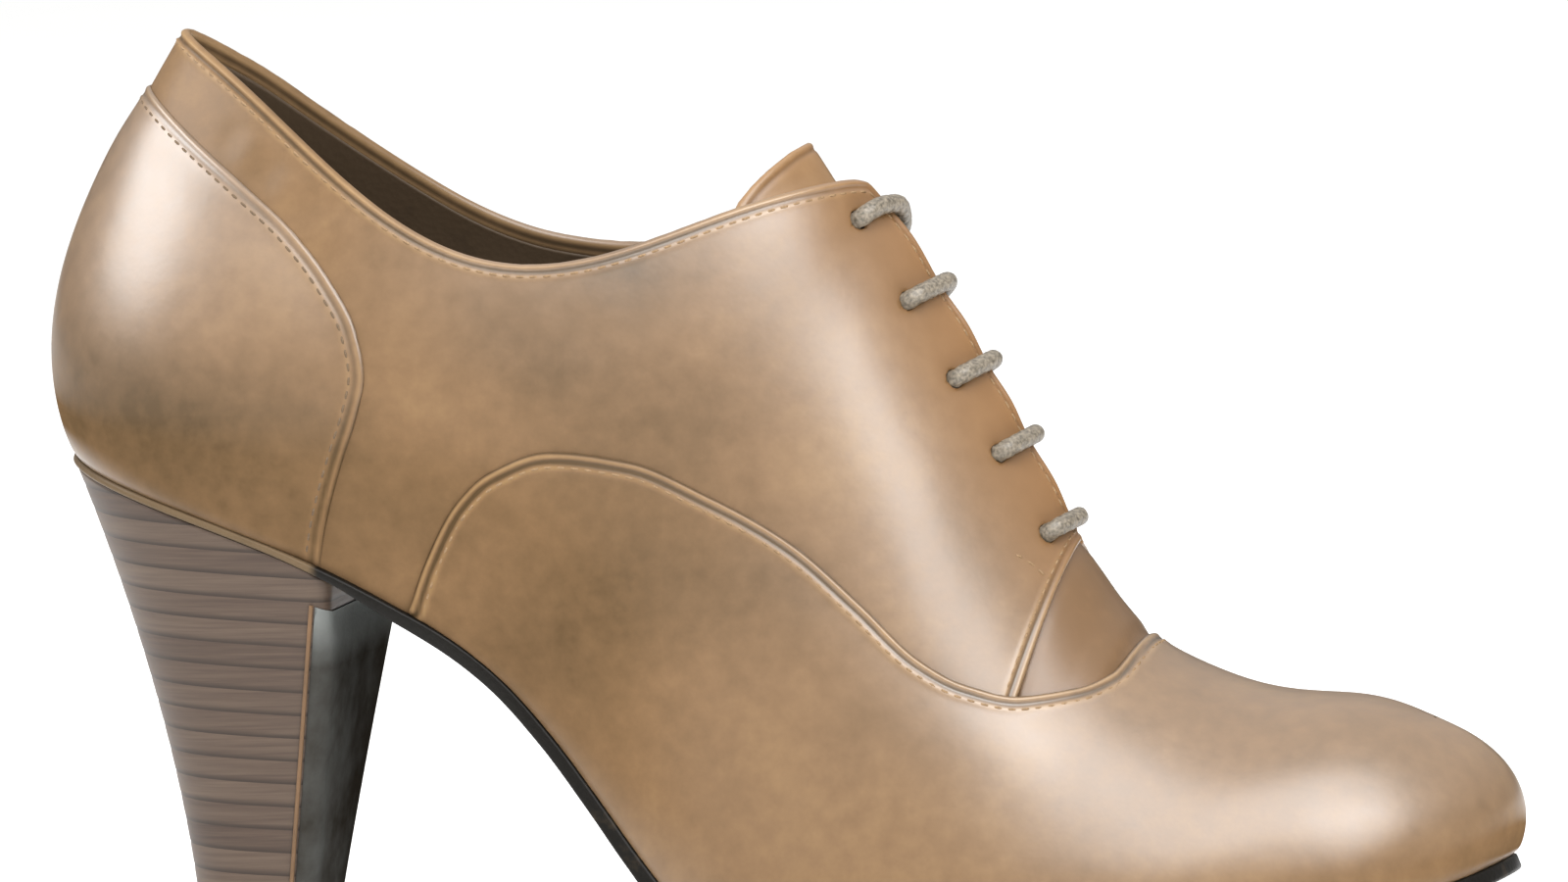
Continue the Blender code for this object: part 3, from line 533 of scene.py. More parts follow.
# %% Colours and nodes
def linear(hex_colour):
    """Linear RGBA of an sRGB hex colour."""
    parts = [int(hex_colour[k:k + 2], 16) / 255 for k in (1, 3, 5)]
    return (*[p / 12.92 if p <= 0.04045 else ((p + 0.055) / 1.055) ** 2.4 for p in parts], 1.0)


def per_mm(size):
    """Texture scale that gives features of that size in millimetres."""
    return 1 / (size * MM)


def add(tree, kind, options=None, inputs=None, stops=()):
    """Adds a node: sets its options, sets or links its inputs, and fills a ramp's stops."""
    made = tree.nodes.new(kind)
    for option, value in (options or {}).items():
        setattr(made, option, value)
    for socket, value in (inputs or {}).items():
        if isinstance(value, bpy.types.NodeSocket):
            tree.links.new(value, made.inputs[socket])
        else:
            made.inputs[socket].default_value = value
    for number, (place, colour) in enumerate(stops):
        stop = made.color_ramp.elements[number] if number < 2 else made.color_ramp.elements.new(place)
        stop.position, stop.color = place, linear(colour)
    return made


# %% Parts of a finish
def surface(name, sockets):
    """A material with one shader whose fixed inputs are set here, and the place on the piece."""
    made = bpy.data.materials.new(name)
    made.use_nodes = True
    for socket, value in sockets.items():
        made.node_tree.nodes["Principled BSDF"].inputs[socket].default_value = value
    return made, made.node_tree, add(made.node_tree, "ShaderNodeTexCoord").outputs["Object"]


def wired(made, links):
    """The material, with what drives its shader's inputs."""
    for socket, value in links.items():
        made.node_tree.links.new(value, made.node_tree.nodes["Principled BSDF"].inputs[socket])
    return made


def noise(tree, place, scale, detail, roughness=0.5):
    """Soft random clouds."""
    return add(tree, "ShaderNodeTexNoise", None, {
        "Vector": place, "Scale": scale, "Detail": detail, "Roughness": roughness}).outputs["Fac"]


def mark(tree, name):
    """A value that the mesh carries at each of its points."""
    return add(tree, "ShaderNodeAttribute", {"attribute_name": name}).outputs["Fac"]


def maths(tree, operation, *values):
    return add(tree, "ShaderNodeMath", {"operation": operation}, dict(enumerate(values))).outputs[0]


def spread(tree, value, low, high):
    """A share from 0 to 1, spread from low to high."""
    return add(tree, "ShaderNodeMapRange", None,
               {"Value": value, "To Min": low, "To Max": high}).outputs["Result"]


def dye(tree, value, *stops):
    """Colour of a value on a ramp of places and hex colours."""
    return add(tree, "ShaderNodeValToRGB", None, {"Fac": value}, stops).outputs["Color"]


def tinted(tree, share, colour, tint):
    """A colour that turns to a fixed tint by a share."""
    return add(tree, "ShaderNodeMix", {"data_type": "RGBA"},
               {0: share, 6: colour, 7: linear(tint)}).outputs[2]


def bump(tree, height, strength, depth, under=None):
    """A bump of a depth in millimetres, on top of another where there is one."""
    inputs = {"Strength": strength, "Distance": depth * MM, "Height": height}
    if under is not None:
        inputs["Normal"] = under
    return add(tree, "ShaderNodeBump", None, inputs).outputs["Normal"]


# %% [markdown]
# ### Polished calf
# The upper is smooth calf: chrome-tanned hide, dyed taupe, then waxed and polished. Its grain is so
# fine that the eye sees soft clouds of darker and lighter dye, and broad blurred highlights. The
# tone mark carries patches, partly dye and partly painted shade, and a painted highlight on the ridge
# crests beside the stitches; the warm mark the tan of the facings; the furrow mark painted shade in
# the stitch furrows, round the lace holes and along the facings' edges, and the dark ink of the cut
# edges, which also paints the shadow of their step; and the polish mark how much wax the brush left.

# %% Calf leather
def polished_calf(name, dark, middle, light, warm):
    made, tree, place = surface(name, {"IOR": 1.5, "Coat Roughness": 0.28})
    fleck = noise(tree, place, per_mm(3.2), 3.0, 0.6)
    mixed = maths(tree, "MULTIPLY_ADD", noise(tree, place, per_mm(24), 3.0), 0.32, 0.22)
    # Tone lightens and darkens the dye, partly as painted shade and painted highlight; the furrow mark
    # darkens it as painted shade.
    for value, weight in ((fleck, 0.25), (mark(tree, "tone"), 0.32), (mark(tree, "furrow"), -0.33)):
        mixed = maths(tree, "MULTIPLY_ADD", value, weight, mixed)
    colour = dye(tree, mixed, (0.2, dark), (0.8, light), (0.5, middle))
    warmth = maths(tree, "MULTIPLY", mark(tree, "warm"), 0.85)
    polish = mark(tree, "polish")
    # The real grain is about 0.3 mm; it is drawn at 0.7 mm, which is the finest that still shows.
    grain = add(tree, "ShaderNodeTexVoronoi", {"feature": "SMOOTH_F1"},
                {"Vector": place, "Scale": per_mm(0.7), "Smoothness": 0.6}).outputs["Distance"]
    ripple = bump(tree, noise(tree, place, per_mm(5), 2.0), 0.25, 0.25)
    return wired(made, {
        "Base Color": tinted(tree, warmth, colour, warm),
        "Roughness": spread(tree, fleck, 0.34, 0.46),
        "Specular IOR Level": spread(tree, polish, 0.0, 0.8),
        "Coat Weight": spread(tree, polish, 0.0, 0.5),
        "Normal": bump(tree, grain, 0.1, 0.08, ripple),
    })


taupe_calf = polished_calf("taupe_polished_calf", "#4d3d2a", "#6f573e", "#8a6f4e", "#76522a")
tongue_calf = polished_calf("tongue_polished_calf", "#4b3924", "#775a3b", "#977954", "#7b5730")
print("calf finishes:", taupe_calf.name, tongue_calf.name)


# %% [markdown]
# ### Lining, sole, heel, lace and thread
# The lining is dark brown pigskin, matt from wear. The sole is black dyed leather. The heel is built
# of leather lifts about three and a half millimetres thick, glued in a stack and sanded, so fine dark
# glue lines run round it. The lace is a waxed round braid, and the thread is spun polyester.

# %% Lining and sole
def matt_leather(name, dark, light, roughness, grain_mm, specular, mottle=1.0):
    """A leather with soft clouds of colour and a visible grain."""
    made, tree, place = surface(name, {"IOR": 1.5, "Specular IOR Level": specular})
    cloud = noise(tree, place, per_mm(9), 5.0, 0.6)
    patchy = spread(tree, cloud, 0.5 - 0.5 * mottle, 0.5 + 0.5 * mottle)
    # The tone mark carries painted shade on the lining and a painted sheen on the breast.
    mixed = maths(tree, "MULTIPLY_ADD", mark(tree, "tone"), 0.4, patchy)
    grain = add(tree, "ShaderNodeTexVoronoi", None, {"Vector": place, "Scale": per_mm(grain_mm)})
    return wired(made, {
        "Base Color": dye(tree, mixed, (0.35, dark), (0.85, light)),
        "Roughness": spread(tree, cloud, roughness - 0.08, roughness + 0.08),
        "Normal": bump(tree, grain.outputs["Distance"], 0.3, 0.1),
    })


dark_lining = matt_leather("dark_pigskin_lining", "#1a1510", "#423322", 0.65, 0.9, 0.4)
sock_leather = matt_leather("sock_pigskin", "#3a3025", "#574734", 0.55, 1.0, 0.4)
black_sole = matt_leather("black_dyed_sole_leather", "#12100d", "#5c4c38", 0.42, 0.8, 0.15)
# The breast leather has no shine of its own: its pale grey stop is the colour of a painted sheen.
breast_leather = matt_leather("smooth_breast_leather", "#28241f", "#7a7d7b", 0.6, 0.7, 0.0, 0.25)
raw_edge = matt_leather("bare_tan_leather_edge", "#5e4832", "#75593f", 0.6, 0.6, 0.3)
lift_rubber = matt_leather("moulded_rubber_lift", "#191715", "#24211e", 0.65, 0.6, 0.4)

# %% Stacked lifts
LIFT_THICKNESS = 3.6
LIFT_LEAN = math.tan(math.radians(4.5))  # the lifts drop a little towards the toe


def stacked_lifts(name, dark, middle, light, glue):
    """Leather lifts: each its own shade, with fine fibres along it and a dark glue line below."""
    made, tree, place = surface(name, {"IOR": 1.5, "Specular IOR Level": 0.3})
    level_way = (LIFT_LEAN * per_mm(LIFT_THICKNESS), 0.0, per_mm(LIFT_THICKNESS))
    lift = add(tree, "ShaderNodeVectorMath", {"operation": "DOT_PRODUCT"},
               {0: place, 1: level_way}).outputs["Value"]
    shade = add(tree, "ShaderNodeTexWhiteNoise", {"noise_dimensions": "1D"},
                {"W": maths(tree, "FLOOR", lift)}).outputs["Value"]
    stretched = add(tree, "ShaderNodeVectorMath", {"operation": "MULTIPLY"},
                    {0: place, 1: (per_mm(22), per_mm(22), per_mm(0.6))}).outputs["Vector"]
    fibre = noise(tree, stretched, 1.0, 4.0, 0.65)
    mixed = maths(tree, "ADD", fibre, maths(tree, "MULTIPLY_ADD", shade, 0.3, -0.15))
    colour = dye(tree, mixed, (0.2, dark), (0.85, light), (0.5, middle))
    line = add(tree, "ShaderNodeMapRange", {"interpolation_type": "SMOOTHSTEP"}, {
        "Value": maths(tree, "FRACT", lift), "From Max": 0.3, "To Min": 1.0, "To Max": 0.0})
    return wired(made, {
        "Base Color": tinted(tree, line.outputs["Result"], colour, glue),
        "Roughness": spread(tree, fibre, 0.4, 0.6),
        "Normal": bump(tree, fibre, 0.2, 0.1),
    })


heel_stack = stacked_lifts("stacked_leather_lifts", "#3a2d25", "#493b31", "#594b3f", "#2d231c")


# %% Lace and thread
def spun(name, dark, light, roughness, fibre_mm):
    """Spun fibre: fine soft strands of two shades."""
    made, tree, place = surface(name, {"IOR": 1.5})
    strand = noise(tree, place, per_mm(fibre_mm), 2.0)
    return wired(made, {
        "Base Color": dye(tree, strand, (0.3, dark), (0.7, light)),
        "Roughness": spread(tree, strand, roughness, roughness + 0.15),
        "Normal": bump(tree, strand, 0.3, 0.1),
    })


lace_cotton = spun("waxed_cotton_braid", "#4a443a", "#847a6b", 0.36, 0.5)
tan_thread = spun("tan_polyester_thread", "#70583b", "#8b7050", 0.6, 0.3)
brown_thread = spun("brown_polyester_thread", "#503e29", "#635039", 0.6, 0.3)
print("finishes:", len(bpy.data.materials))

# %% [markdown]
# ## Relief and tone of the leather
# Leather pulled over a last is never quite even. A few soft troughs and ridges are placed in
# side view, where the picture shows ripples at the collar and pulls on the quarter, with a very low
# swell everywhere, so that highlights wander a little. Darker patches are placed the same way: some
# are dye, and some are painted shade over the lower counter and the back of the vamp.

# %% Troughs and patches
Crease = namedtuple("Crease", "x0 z0 x1 z1 width depth")
CREASES = [
    Crease(31.0, 126.5, 34.0, 131.5, 1.5, 0.14),
    Crease(34.0, 124.0, 37.5, 129.5, 1.5, -0.20),
    Crease(37.0, 121.5, 41.0, 126.5, 1.6, 0.24),
    Crease(40.5, 118.8, 44.5, 123.6, 1.6, -0.22),
    Crease(43.5, 116.0, 48.0, 120.6, 1.7, 0.20),
    Crease(47.5, 112.5, 52.5, 117.0, 2.0, -0.14),
    Crease(66.0, 92.0, 80.0, 103.0, 4.5, 0.22),
    Crease(78.0, 90.0, 92.0, 101.5, 4.0, 0.18),
    Crease(57.0, 84.0, 60.5, 100.0, 3.0, 0.15),
    Crease(136.0, 24.0, 152.0, 36.0, 5.0, 0.12),
]
Patch = namedtuple("Patch", "x z wide high tone")
# Partly dye, partly painted shade over the lower counter and the back of the vamp.
DYE_AND_SHADE_PATCHES = [
    Patch(40, 88, 17, 10, -0.35),
    Patch(24, 88, 13, 9, -0.5),
    Patch(8, 92, 11, 13, -0.75),
    Patch(30, 74, 24, 9, -0.35),
    Patch(78, 60, 19, 18, -0.3),
    Patch(61, 93, 8, 14, 0.3),
    Patch(96, 108, 9, 6, -0.6),
    Patch(82, 93, 10, 8, -0.3),
    Patch(103, 58, 22, 16, -0.4),
    Patch(74, 98, 13, 8, -0.35),
    Patch(104, 85, 13, 9, -0.45),
    Patch(60, 78, 9, 12, -0.2),
    Patch(128, 84, 14, 22, 0.15),
]
SWELL = 0.035  # how uneven the leather is everywhere
TOE_FULLNESS = 1.2  # the toe swells a little over the sole
TOE_FULL_Z, TOE_FULL_HIGH = 10, 8


def trough_depth(points):
    """How far the leather lies under the form at each point, in millimetres."""
    x, y, z = points[..., 0], points[..., 1], points[..., 2]
    depth = np.zeros_like(x)
    for c in CREASES:
        way = np.array([c.x1 - c.x0, c.z1 - c.z0])
        length = np.hypot(*way)
        share = ((x - c.x0) * way[0] + (z - c.z0) * way[1]) / length**2
        aside = ((x - c.x0) * way[1] - (z - c.z0) * way[0]) / length
        fade = np.clip(1.15 - np.abs(2 * share - 1) ** 2, 0, 1) * (share > -0.1) * (share < 1.1)
        depth += c.depth * fade * bell(aside, c.width)
    swell = np.sin(x / 7.3 + z / 11.0) * np.sin(z / 8.1 - y / 9.7)
    swell += 0.6 * np.sin(x / 4.1 - z / 5.3 + y / 6.0)
    full = smoothstep(np.clip((x - 140) / 35, 0, 1) * np.clip((214 - x) / 16, 0, 1))
    return depth + SWELL * swell - TOE_FULLNESS * full * bell(z - TOE_FULL_Z, TOE_FULL_HIGH)


def dye_and_shade_tone(points):
    """Patches of dye and of painted shade, from -1 dark to 1 light."""
    x, z = points[..., 0], points[..., 2]
    tone = sum(p.tone * bell(x - p.x, p.wide) * bell(z - p.z, p.high) for p in DYE_AND_SHADE_PATCHES)
    return np.clip(tone, -1, 1)


def polish_of(normal):
    """How much wax the leather took: the brush hardly reaches what turns under."""
    return smoothstep((normal[..., 2] + 0.12) / 0.5)


print("relief:", len(CREASES), "troughs and ridges,", len(DYE_AND_SHADE_PATCHES), "dye patches")

# %% [markdown]
# ## Lace holes
# The facings have no eyelets: ten holes are punched through the leather. Each is a place on the form,
# found square across the middle line of the instep, nine millimetres to either side.

# %% Find the holes
HOLE_RADIUS = 1.55
FIRST_BAR_WIDTHS, FIRST_BAR_ROWS = (-9, -5, -1.6, 1.6, 4.6, 9), (7.63, 7.87, 8.04, 8.12, 8.12, 8.0)


def at_width(row, y):
    """Loop place and height share of a section row at width y."""
    s = row if y < 0 else LOOP - row
    return s, float(height_at_width(s, abs(y))[0])


def across_ridge(row, y):
    """Loop place and height share at width y, square across the middle line at row."""
    step = 0.02
    middle, way = form(row, 1.0), form(row + step, 1.0) - form(row - step, 1.0)
    rows = np.linspace(row - 0.9, row + 0.1, 101)
    places = rows if y < 0 else LOOP - rows
    heights = height_at_width(places, abs(y))
    return at_width(float(np.interp(0, (form(places, heights) - middle) @ way, rows)), y)


def on_first_bar(y):
    """The same under the first bar, which lies aslant below the round corner."""
    return at_width(float(np.interp(y, FIRST_BAR_WIDTHS, FIRST_BAR_ROWS)), y)


throat_rows = np.linspace(THROAT_TOP, THROAT_FOOT, 81)
BAR_ROWS = [float(np.interp(-z, -at("rim_z", throat_rows), throat_rows)) for z in LACE_LEVELS]
hole_places = [on_first_bar(side * LACE_HOLE_OFFSET) for side in (-1, 1)]
hole_places += [across_ridge(row, side * LACE_HOLE_OFFSET) for row in BAR_ROWS[1:] for side in (-1, 1)]
HOLES = [form(*place) for place in hole_places]
print("holes:", len(HOLES), "rows", [round(row, 2) for row in BAR_ROWS])


# %% [markdown]
# ## Panels
# A panel is described by its grid and by how high its two faces lie over the form. The height near an
# edge comes from the distance to that edge: leather is skived thin, turned over and rounded, and a
# stitch row presses a shallow furrow beside it. Distances are taken to the edge line itself, so the
# turned edge stays even where the grid runs aslant.

# %% Edge profiles
FURROW_WIDTH, CREST_WIDTH, ROW_WIDTH = 0.42, 0.35, 0.45  # of the furrow and the ridges beside it
BEAD = 0.1  # height of the ridges beside a stitch row
CREST_HIGHLIGHT = 0.9  # painted highlight: how much lighter their crests are drawn


def nose(distance, half_thickness):
    """How far a rounded edge has opened, from 0 at the edge to 1 inside."""
    t = np.clip(distance / half_thickness, 0, 1)
    return np.maximum(np.sqrt(1 - (1 - t) ** 2), 0.06)


def sewn_edge(distance, stitch, crest=0.55):
    """Furrow and ridges of a turned edge: one crest by the edge, one under the stitch row."""
    furrow = bell(distance - (crest + stitch) / 2, FURROW_WIDTH)
    return furrow, bell(distance - crest, CREST_WIDTH) + 0.8 * bell(distance - stitch, ROW_WIDTH)


def lay_panel(name, s, v, outer, inner, normal, marks, finish, slot, replaced, punched=(), closed=False):
    """Builds one panel and returns what its stitches lie on: its outer points and their ways."""
    base = form(s, v)
    heights = (0.0, outer[..., None], inner[..., None])
    sheets = [(base + height * normal).reshape(-1, 3) for height in heights]
    faces = grid_faces(*s.shape, closed)
    for hole in punched:
        reach = np.linalg.norm(sheets[0] - hole, axis=1)
        gone = (reach < HOLE_RADIUS)[faces].all(1)
        border = np.intersect1d(faces[gone], faces[~gone])
        move = (sheets[0][border] - hole) * (HOLE_RADIUS / reach[border] - 1)[:, None]
        for sheet in sheets:
            sheet[border] += move
        faces = faces[~gone]
    make_sheet(name, *sheets, faces, finish, slot, replaced, marks)
    return sheets[1], normal.reshape(-1, 3)


# %% [markdown]
# ### Quarters
# Two quarters wrap the heel and meet at the facings. Their topline is folded over the lining, so the
# edge is a low smooth bead with a stitch row two millimetres under it. The front edge of each facing
# is sewn down with a row of its own. Everything below the seams is hidden by the vamp and the counter.

# %% Cut the quarters
QUARTER = 0.9
QUARTER_LINES = 100
TOPLINE_STITCH, FRONT_STITCH = 2.1, 1.9
TOPLINE_CREST = 0.7  # the topline's crest from its edge
FURROW_DEPTH = 0.2
SCALLOP, SCALLOP_WIDTH = 0.45, 4.5  # how far the facing's edge lifts between two bars of the lace
FACING_DROP, FACING_WIDTH = 1.0, 7.0  # the inner facing lies lower than the outer one
HOLE_DIMPLE, DIMPLE_WIDTH = 0.3, 2.6  # how far the lace pulls the leather in at a hole
FOLD = 3.4  # how far the topline is folded over the lining
WARM_REACH = 20  # how far the tan of the facings fades out


def quarter_spacing(row):
    fine = np.where(row > 7.3, 0.75, 1.5)
    return np.where(row > 9.75, 0.4, fine)


quarter_s = grid_places(-THROAT_FOOT, THROAT_FOOT, quarter_spacing)
q_s, q_v = panel_grid(quarter_s, rim_height(quarter_s), QUARTER_LINES)
quarter_row = own_row(q_s)
quarter_face, quarter_normal = form(q_s, q_v), form_normal(q_s, q_v)
rim_line = quarter_face[:, -1]
to_rim = distance_to(quarter_face, rim_line)
to_front = np.min([distance_to(quarter_face, quarter_face[end]) for end in (0, -1)], axis=0)
to_throat = distance_to(quarter_face, np.array([form(row, 1.0) for row in throat_rows]))
to_hole = np.min([np.linalg.norm(quarter_face - hole, axis=-1) for hole in HOLES], axis=0)

# %% Shape and dye of the quarters
rim_furrow, rim_ridges = sewn_edge(to_rim, TOPLINE_STITCH, TOPLINE_CREST)
front_furrow, front_ridges = sewn_edge(to_front, FRONT_STITCH)
clear = to_front > TOPLINE_STITCH
furrow = np.clip(rim_furrow * clear + front_furrow, 0, 1)
ridges = np.clip(rim_ridges * clear + front_ridges, 0, 1)
bar_phase = np.interp(quarter_row, BAR_ROWS, np.arange(LACE_ROWS))
bar_wave = np.cos(2 * math.pi * bar_phase)
scallop = SCALLOP * (0.5 - 0.5 * bar_wave) * bell(to_rim, SCALLOP_WIDTH)
along_facing = np.clip((quarter_row - COLLAR_CORNER - 0.4) / 0.6, 0, 1)
sunk = FACING_DROP * along_facing * bell(to_rim, FACING_WIDTH) * (q_s < 0)
height = BEAD * ridges + scallop - sunk - FURROW_DEPTH * furrow
height -= HOLE_DIMPLE * bell(to_hole, DIMPLE_WIDTH) + trough_depth(quarter_face)
folded = np.clip(FOLD - to_rim, 0, 1)
depth_in = -(QUARTER + (WALL - QUARTER) * folded) + scallop - sunk
middle = (height + depth_in) / 2
opening = np.minimum(nose(to_rim, WALL / 2), nose(to_front, QUARTER / 2))
# Painted shade along the facing's edge, strongest between the bars, where the throat behind it lies in
# shade.
throat_shade = along_facing * (1.2 - bar_wave) * bell(to_rim, 0.7)
brushed = np.interp(quarter_row, (2.6, 4.0, 8.0, 9.0), (0.15, 0.86, 0.8, 0.7))  # least at the heel
# In the marks, tone adds a painted highlight on the ridge crests, and the furrow mark paints shade in the
# furrows and round the lace holes.
quarter_marks = {
    "tone": dye_and_shade_tone(quarter_face) + CREST_HIGHLIGHT * ridges,
    "warm": np.clip(1.2 - to_throat / WARM_REACH, 0, 1),
    "furrow": np.clip(furrow + 0.8 * bell(to_hole, 2.2) + throat_shade, 0, 1),
    "polish": brushed * polish_of(quarter_normal),
}
quarter_points, quarter_ways = lay_panel(
    "quarters", q_s, q_v, middle + (height - middle) * opening, middle + (depth_in - middle) * opening,
    quarter_normal, quarter_marks, taupe_calf, "upper_leather", ("upper",), HOLES)

# %% [markdown]
# ### Lining
# The lining is a thin sheet inside the quarters and the toe, and stops under the folded topline.

# %% Cut the lining
LINING_DROP = 2.6
LINING_LINES = 44
LINING_TOP, LINING_UNDER = -QUARTER - 0.06, -WALL - 0.1
lining_s = grid_places(0, LOOP, lambda row: np.full_like(row, 1.9))[:-1]
lining_top = np.where(own_row(lining_s) <= THROAT_FOOT, rim_height(lining_s), vamp_height(lining_s))
lining_reach = form(lining_s, lining_top) - form(lining_s, lining_top - 0.02)
lining_drop = LINING_DROP * 0.02 / np.linalg.norm(lining_reach, axis=-1)
lining_top = np.where(own_row(lining_s) < SEAM_CENTRE, lining_top - lining_drop, lining_top)
l_s, l_v = panel_grid(lining_s, lining_top, LINING_LINES, power=1.4)
lining_face = form(l_s, l_v)
# The tone mark paints shade: the lining is lighter near its top edge and darker deeper inside the shoe.
lay_panel("lining", l_s, l_v, np.full(l_s.shape, LINING_TOP), np.full(l_s.shape, LINING_UNDER),
          form_normal(l_s, l_v), {"tone": np.exp(-distance_to(lining_face, lining_face[:, -1]) / 22)},
          dark_lining, "lining_leather", (), closed=True)

# %% [markdown]
# ### Vamp and counter
# Both overlays are laid on the quarters with a turned edge and a stitch row. They are skived thin at
# the edge, so the step is under a millimetre, and fill out to their full height a few millimetres in.
# Along the sole the leather is pulled under a little.

# %% Shape of an overlay
OVERLAY_TOP, OVERLAY_UNDER, OVERLAY_FLESH = 1.2, 0.08, 0.05  # full height, edge, flesh side
OVERLAY_LINES = 84
VAMP_EDGE, COUNTER_EDGE = 0.75, 0.45  # thickness of the skived edges
OVERLAY_STITCH, OVERLAY_FURROW = 2.2, 0.18
FILLING = 7.0  # how far from its seam an overlay reaches its full height
EDGE_ROUND, EDGE_INK_AND_SHADE_WIDTH = 0.5, 0.35  # the cut edge is rounded, and drawn dark as ink that also paints the shadow of its step
TUCK, TUCK_HEIGHT = 0.35, 1.8  # along the sole


def lay_overlay(name, s, v, edge_line, foot_line, edge, replaced, relief=1.0, polish=1.0):
    """Lays an overlay with its sewn edge, as lay_panel does."""
    face, normal = form(s, v), panel_normal(s, v)
    to_seam, to_foot = distance_to(face, edge_line), distance_to(face, foot_line)
    top = edge + (OVERLAY_TOP - edge) * (1 - bell(to_seam, FILLING))
    furrow, ridges = (relief * share for share in sewn_edge(to_seam, OVERLAY_STITCH))
    tucked = TUCK * np.clip(1 - to_foot / TUCK_HEIGHT, 0, 1) ** 2
    outer = top + BEAD * ridges - OVERLAY_FURROW * furrow - tucked - trough_depth(face)
    outer = OVERLAY_UNDER + (outer - OVERLAY_UNDER) * nose(to_seam, EDGE_ROUND)
    # In the marks, tone adds a painted highlight on the ridge crests, and the furrow mark paints shade in
    # the stitch furrow and at the cut edge.
    marks = {
        "tone": dye_and_shade_tone(face) + CREST_HIGHLIGHT * ridges,
        "warm": np.zeros(s.shape),
        "furrow": np.clip(furrow + relief * bell(to_seam, EDGE_INK_AND_SHADE_WIDTH), 0, 1),
        "polish": polish * polish_of(normal),
    }
    return lay_panel(name, s, v, outer, np.full_like(outer, OVERLAY_FLESH), normal, marks,
                     taupe_calf, "upper_leather", replaced)


# %% Cut the vamp
vamp_rows = np.linspace(3, 6, 601)
vamp_ends = []
for side in (vamp_rows, LOOP - vamp_rows):
    _, high, found = heights_inside(side, under_vamp_seam)
    vamp_ends.append(side[found & (high > 0.012)][0])


def vamp_spacing(row):
    back_tip = np.where(row < 4.8, 0.6, 1.3)
    along_seam = np.where((row > 9.6) & (row < 11.15), 0.75, back_tip)
    return np.where((row > 10.8) & (row < 11.0), 0.07, along_seam)  # the seam runs along the sections here


vamp_s = grid_places(*vamp_ends, vamp_spacing)
outer_half = vamp_s[vamp_s < TOE_TIP]
inner_half = LOOP - outer_half[::-1]  # mirrored, so that both sides meet point to point
vamp_s = np.concatenate([outer_half, [TOE_TIP], inner_half[inner_half < vamp_ends[1]]])
v_s, v_v = panel_grid(vamp_s, vamp_height(vamp_s), OVERLAY_LINES)
vamp_face = form(v_s, v_v)
has_edge = own_row(vamp_s) < SEAM_CENTRE
seam_middle = form(np.array([float(SEAM_CENTRE)]), 1.0)
vamp_edge = np.concatenate([vamp_face[has_edge & (vamp_s < TOE_TIP), -1], seam_middle,
                            vamp_face[has_edge & (vamp_s > TOE_TIP), -1]])
vamp_points, vamp_ways = lay_overlay(
    "vamp_leather", v_s, v_v, vamp_edge, vamp_face[:, 0], VAMP_EDGE, ("vamp",), polish=0.85)

# %% Cut the counter
front_rows = np.linspace(3, 4, 800)
outer_front, inner_front = (front_rows[heights_inside(side, behind_counter_seam)[2]][-1]
                            for side in (front_rows, LOOP - front_rows))
share = 1 - (1 - np.linspace(0, 1, 86)) ** 1.5
counter_s = np.concatenate([-inner_front * share[:0:-1], outer_front * share])
counter_low, counter_high, _ = heights_inside(counter_s, behind_counter_seam)
c_s, c_v = panel_grid(counter_s, counter_high, OVERLAY_LINES, counter_low)
counter_face = form(c_s, c_v)
raised = counter_low > 0
lateral_front = counter_face[raised & (counter_s > 0), 0][::-1]
medial_front = counter_face[raised & (counter_s < 0), 0][::-1]
counter_foot = counter_face[~raised, 0]
medial_end, lateral_end = counter_foot[[0, -1]]
counter_seam = np.concatenate([[medial_end], medial_front, counter_face[:, -1],
                               lateral_front, [lateral_end]])
counter_edge = np.concatenate([[2 * medial_end - medial_front[0]], counter_seam,
                               [2 * lateral_end - lateral_front[-1]]])  # runs on under the sole
counter_points, counter_ways = lay_overlay(
    "counter_leather", c_s, c_v, counter_edge, counter_foot, COUNTER_EDGE, ("counter",), relief=0.5)

# %% [markdown]
# ### Tongue
# The tongue lies under the facings and comes out in front of them as the plug, sewn under the vamp.
# It stands up past the throat in a rounded tip. Its depth under the form is a short table along the
# sections: close under the vamp's edge in front, and deep under the lace higher up.

# %% Sections of the tongue
TongueRow = namedtuple("TongueRow", "section depth half_width thickness")
TONGUE_ROWS = [TongueRow(*row) for row in (
    (8.0, 6.0, 19.0, 1.4), (8.5, 5.0, 21.0, 1.4), (9.0, 4.2, 22.5, 1.4), (9.5, 3.6, 24.0, 1.3),
    (9.8, 3.1, 25.5, 1.2), (10.0, 1.4, 26.5, 1.0), (10.12, 0.75, 26.8, 0.8), (10.4, 0.1, 27.0, 0.6),
    (10.75, -0.4, 26.0, 0.6), (10.95, 0.1, 25.0, 0.6), (11.2, 0.2, 23.0, 0.6), (11.5, 0.3, 19.0, 0.6),
)]
TongueTip = namedtuple("TongueTip", "step reach half_width arch own")
TONGUE_TIP = [TongueTip(*row) for row in (
    (0, 0.0, 19.0, 10.8, 0.0), (1, 3.1, 18.2, 11.6, 0.5), (2, 6.2, 17.2, 12.4, 0.9),
    (3, 9.2, 16.0, 12.2, 1.0), (4, 11.4, 14.4, 10.6, 1.0), (5, 12.8, 11.8, 7.6, 1.0),
    (6, 13.7, 8.6, 4.4, 1.0), (7, 14.2, 5.0, 1.6, 1.0),
)]
TONGUE_TIP_WAY = np.array([-0.5, 0.0, 0.866])
TONGUE_COLUMNS = 61
column_share = two_sided(TONGUE_COLUMNS, 1.35) * 2 - 1


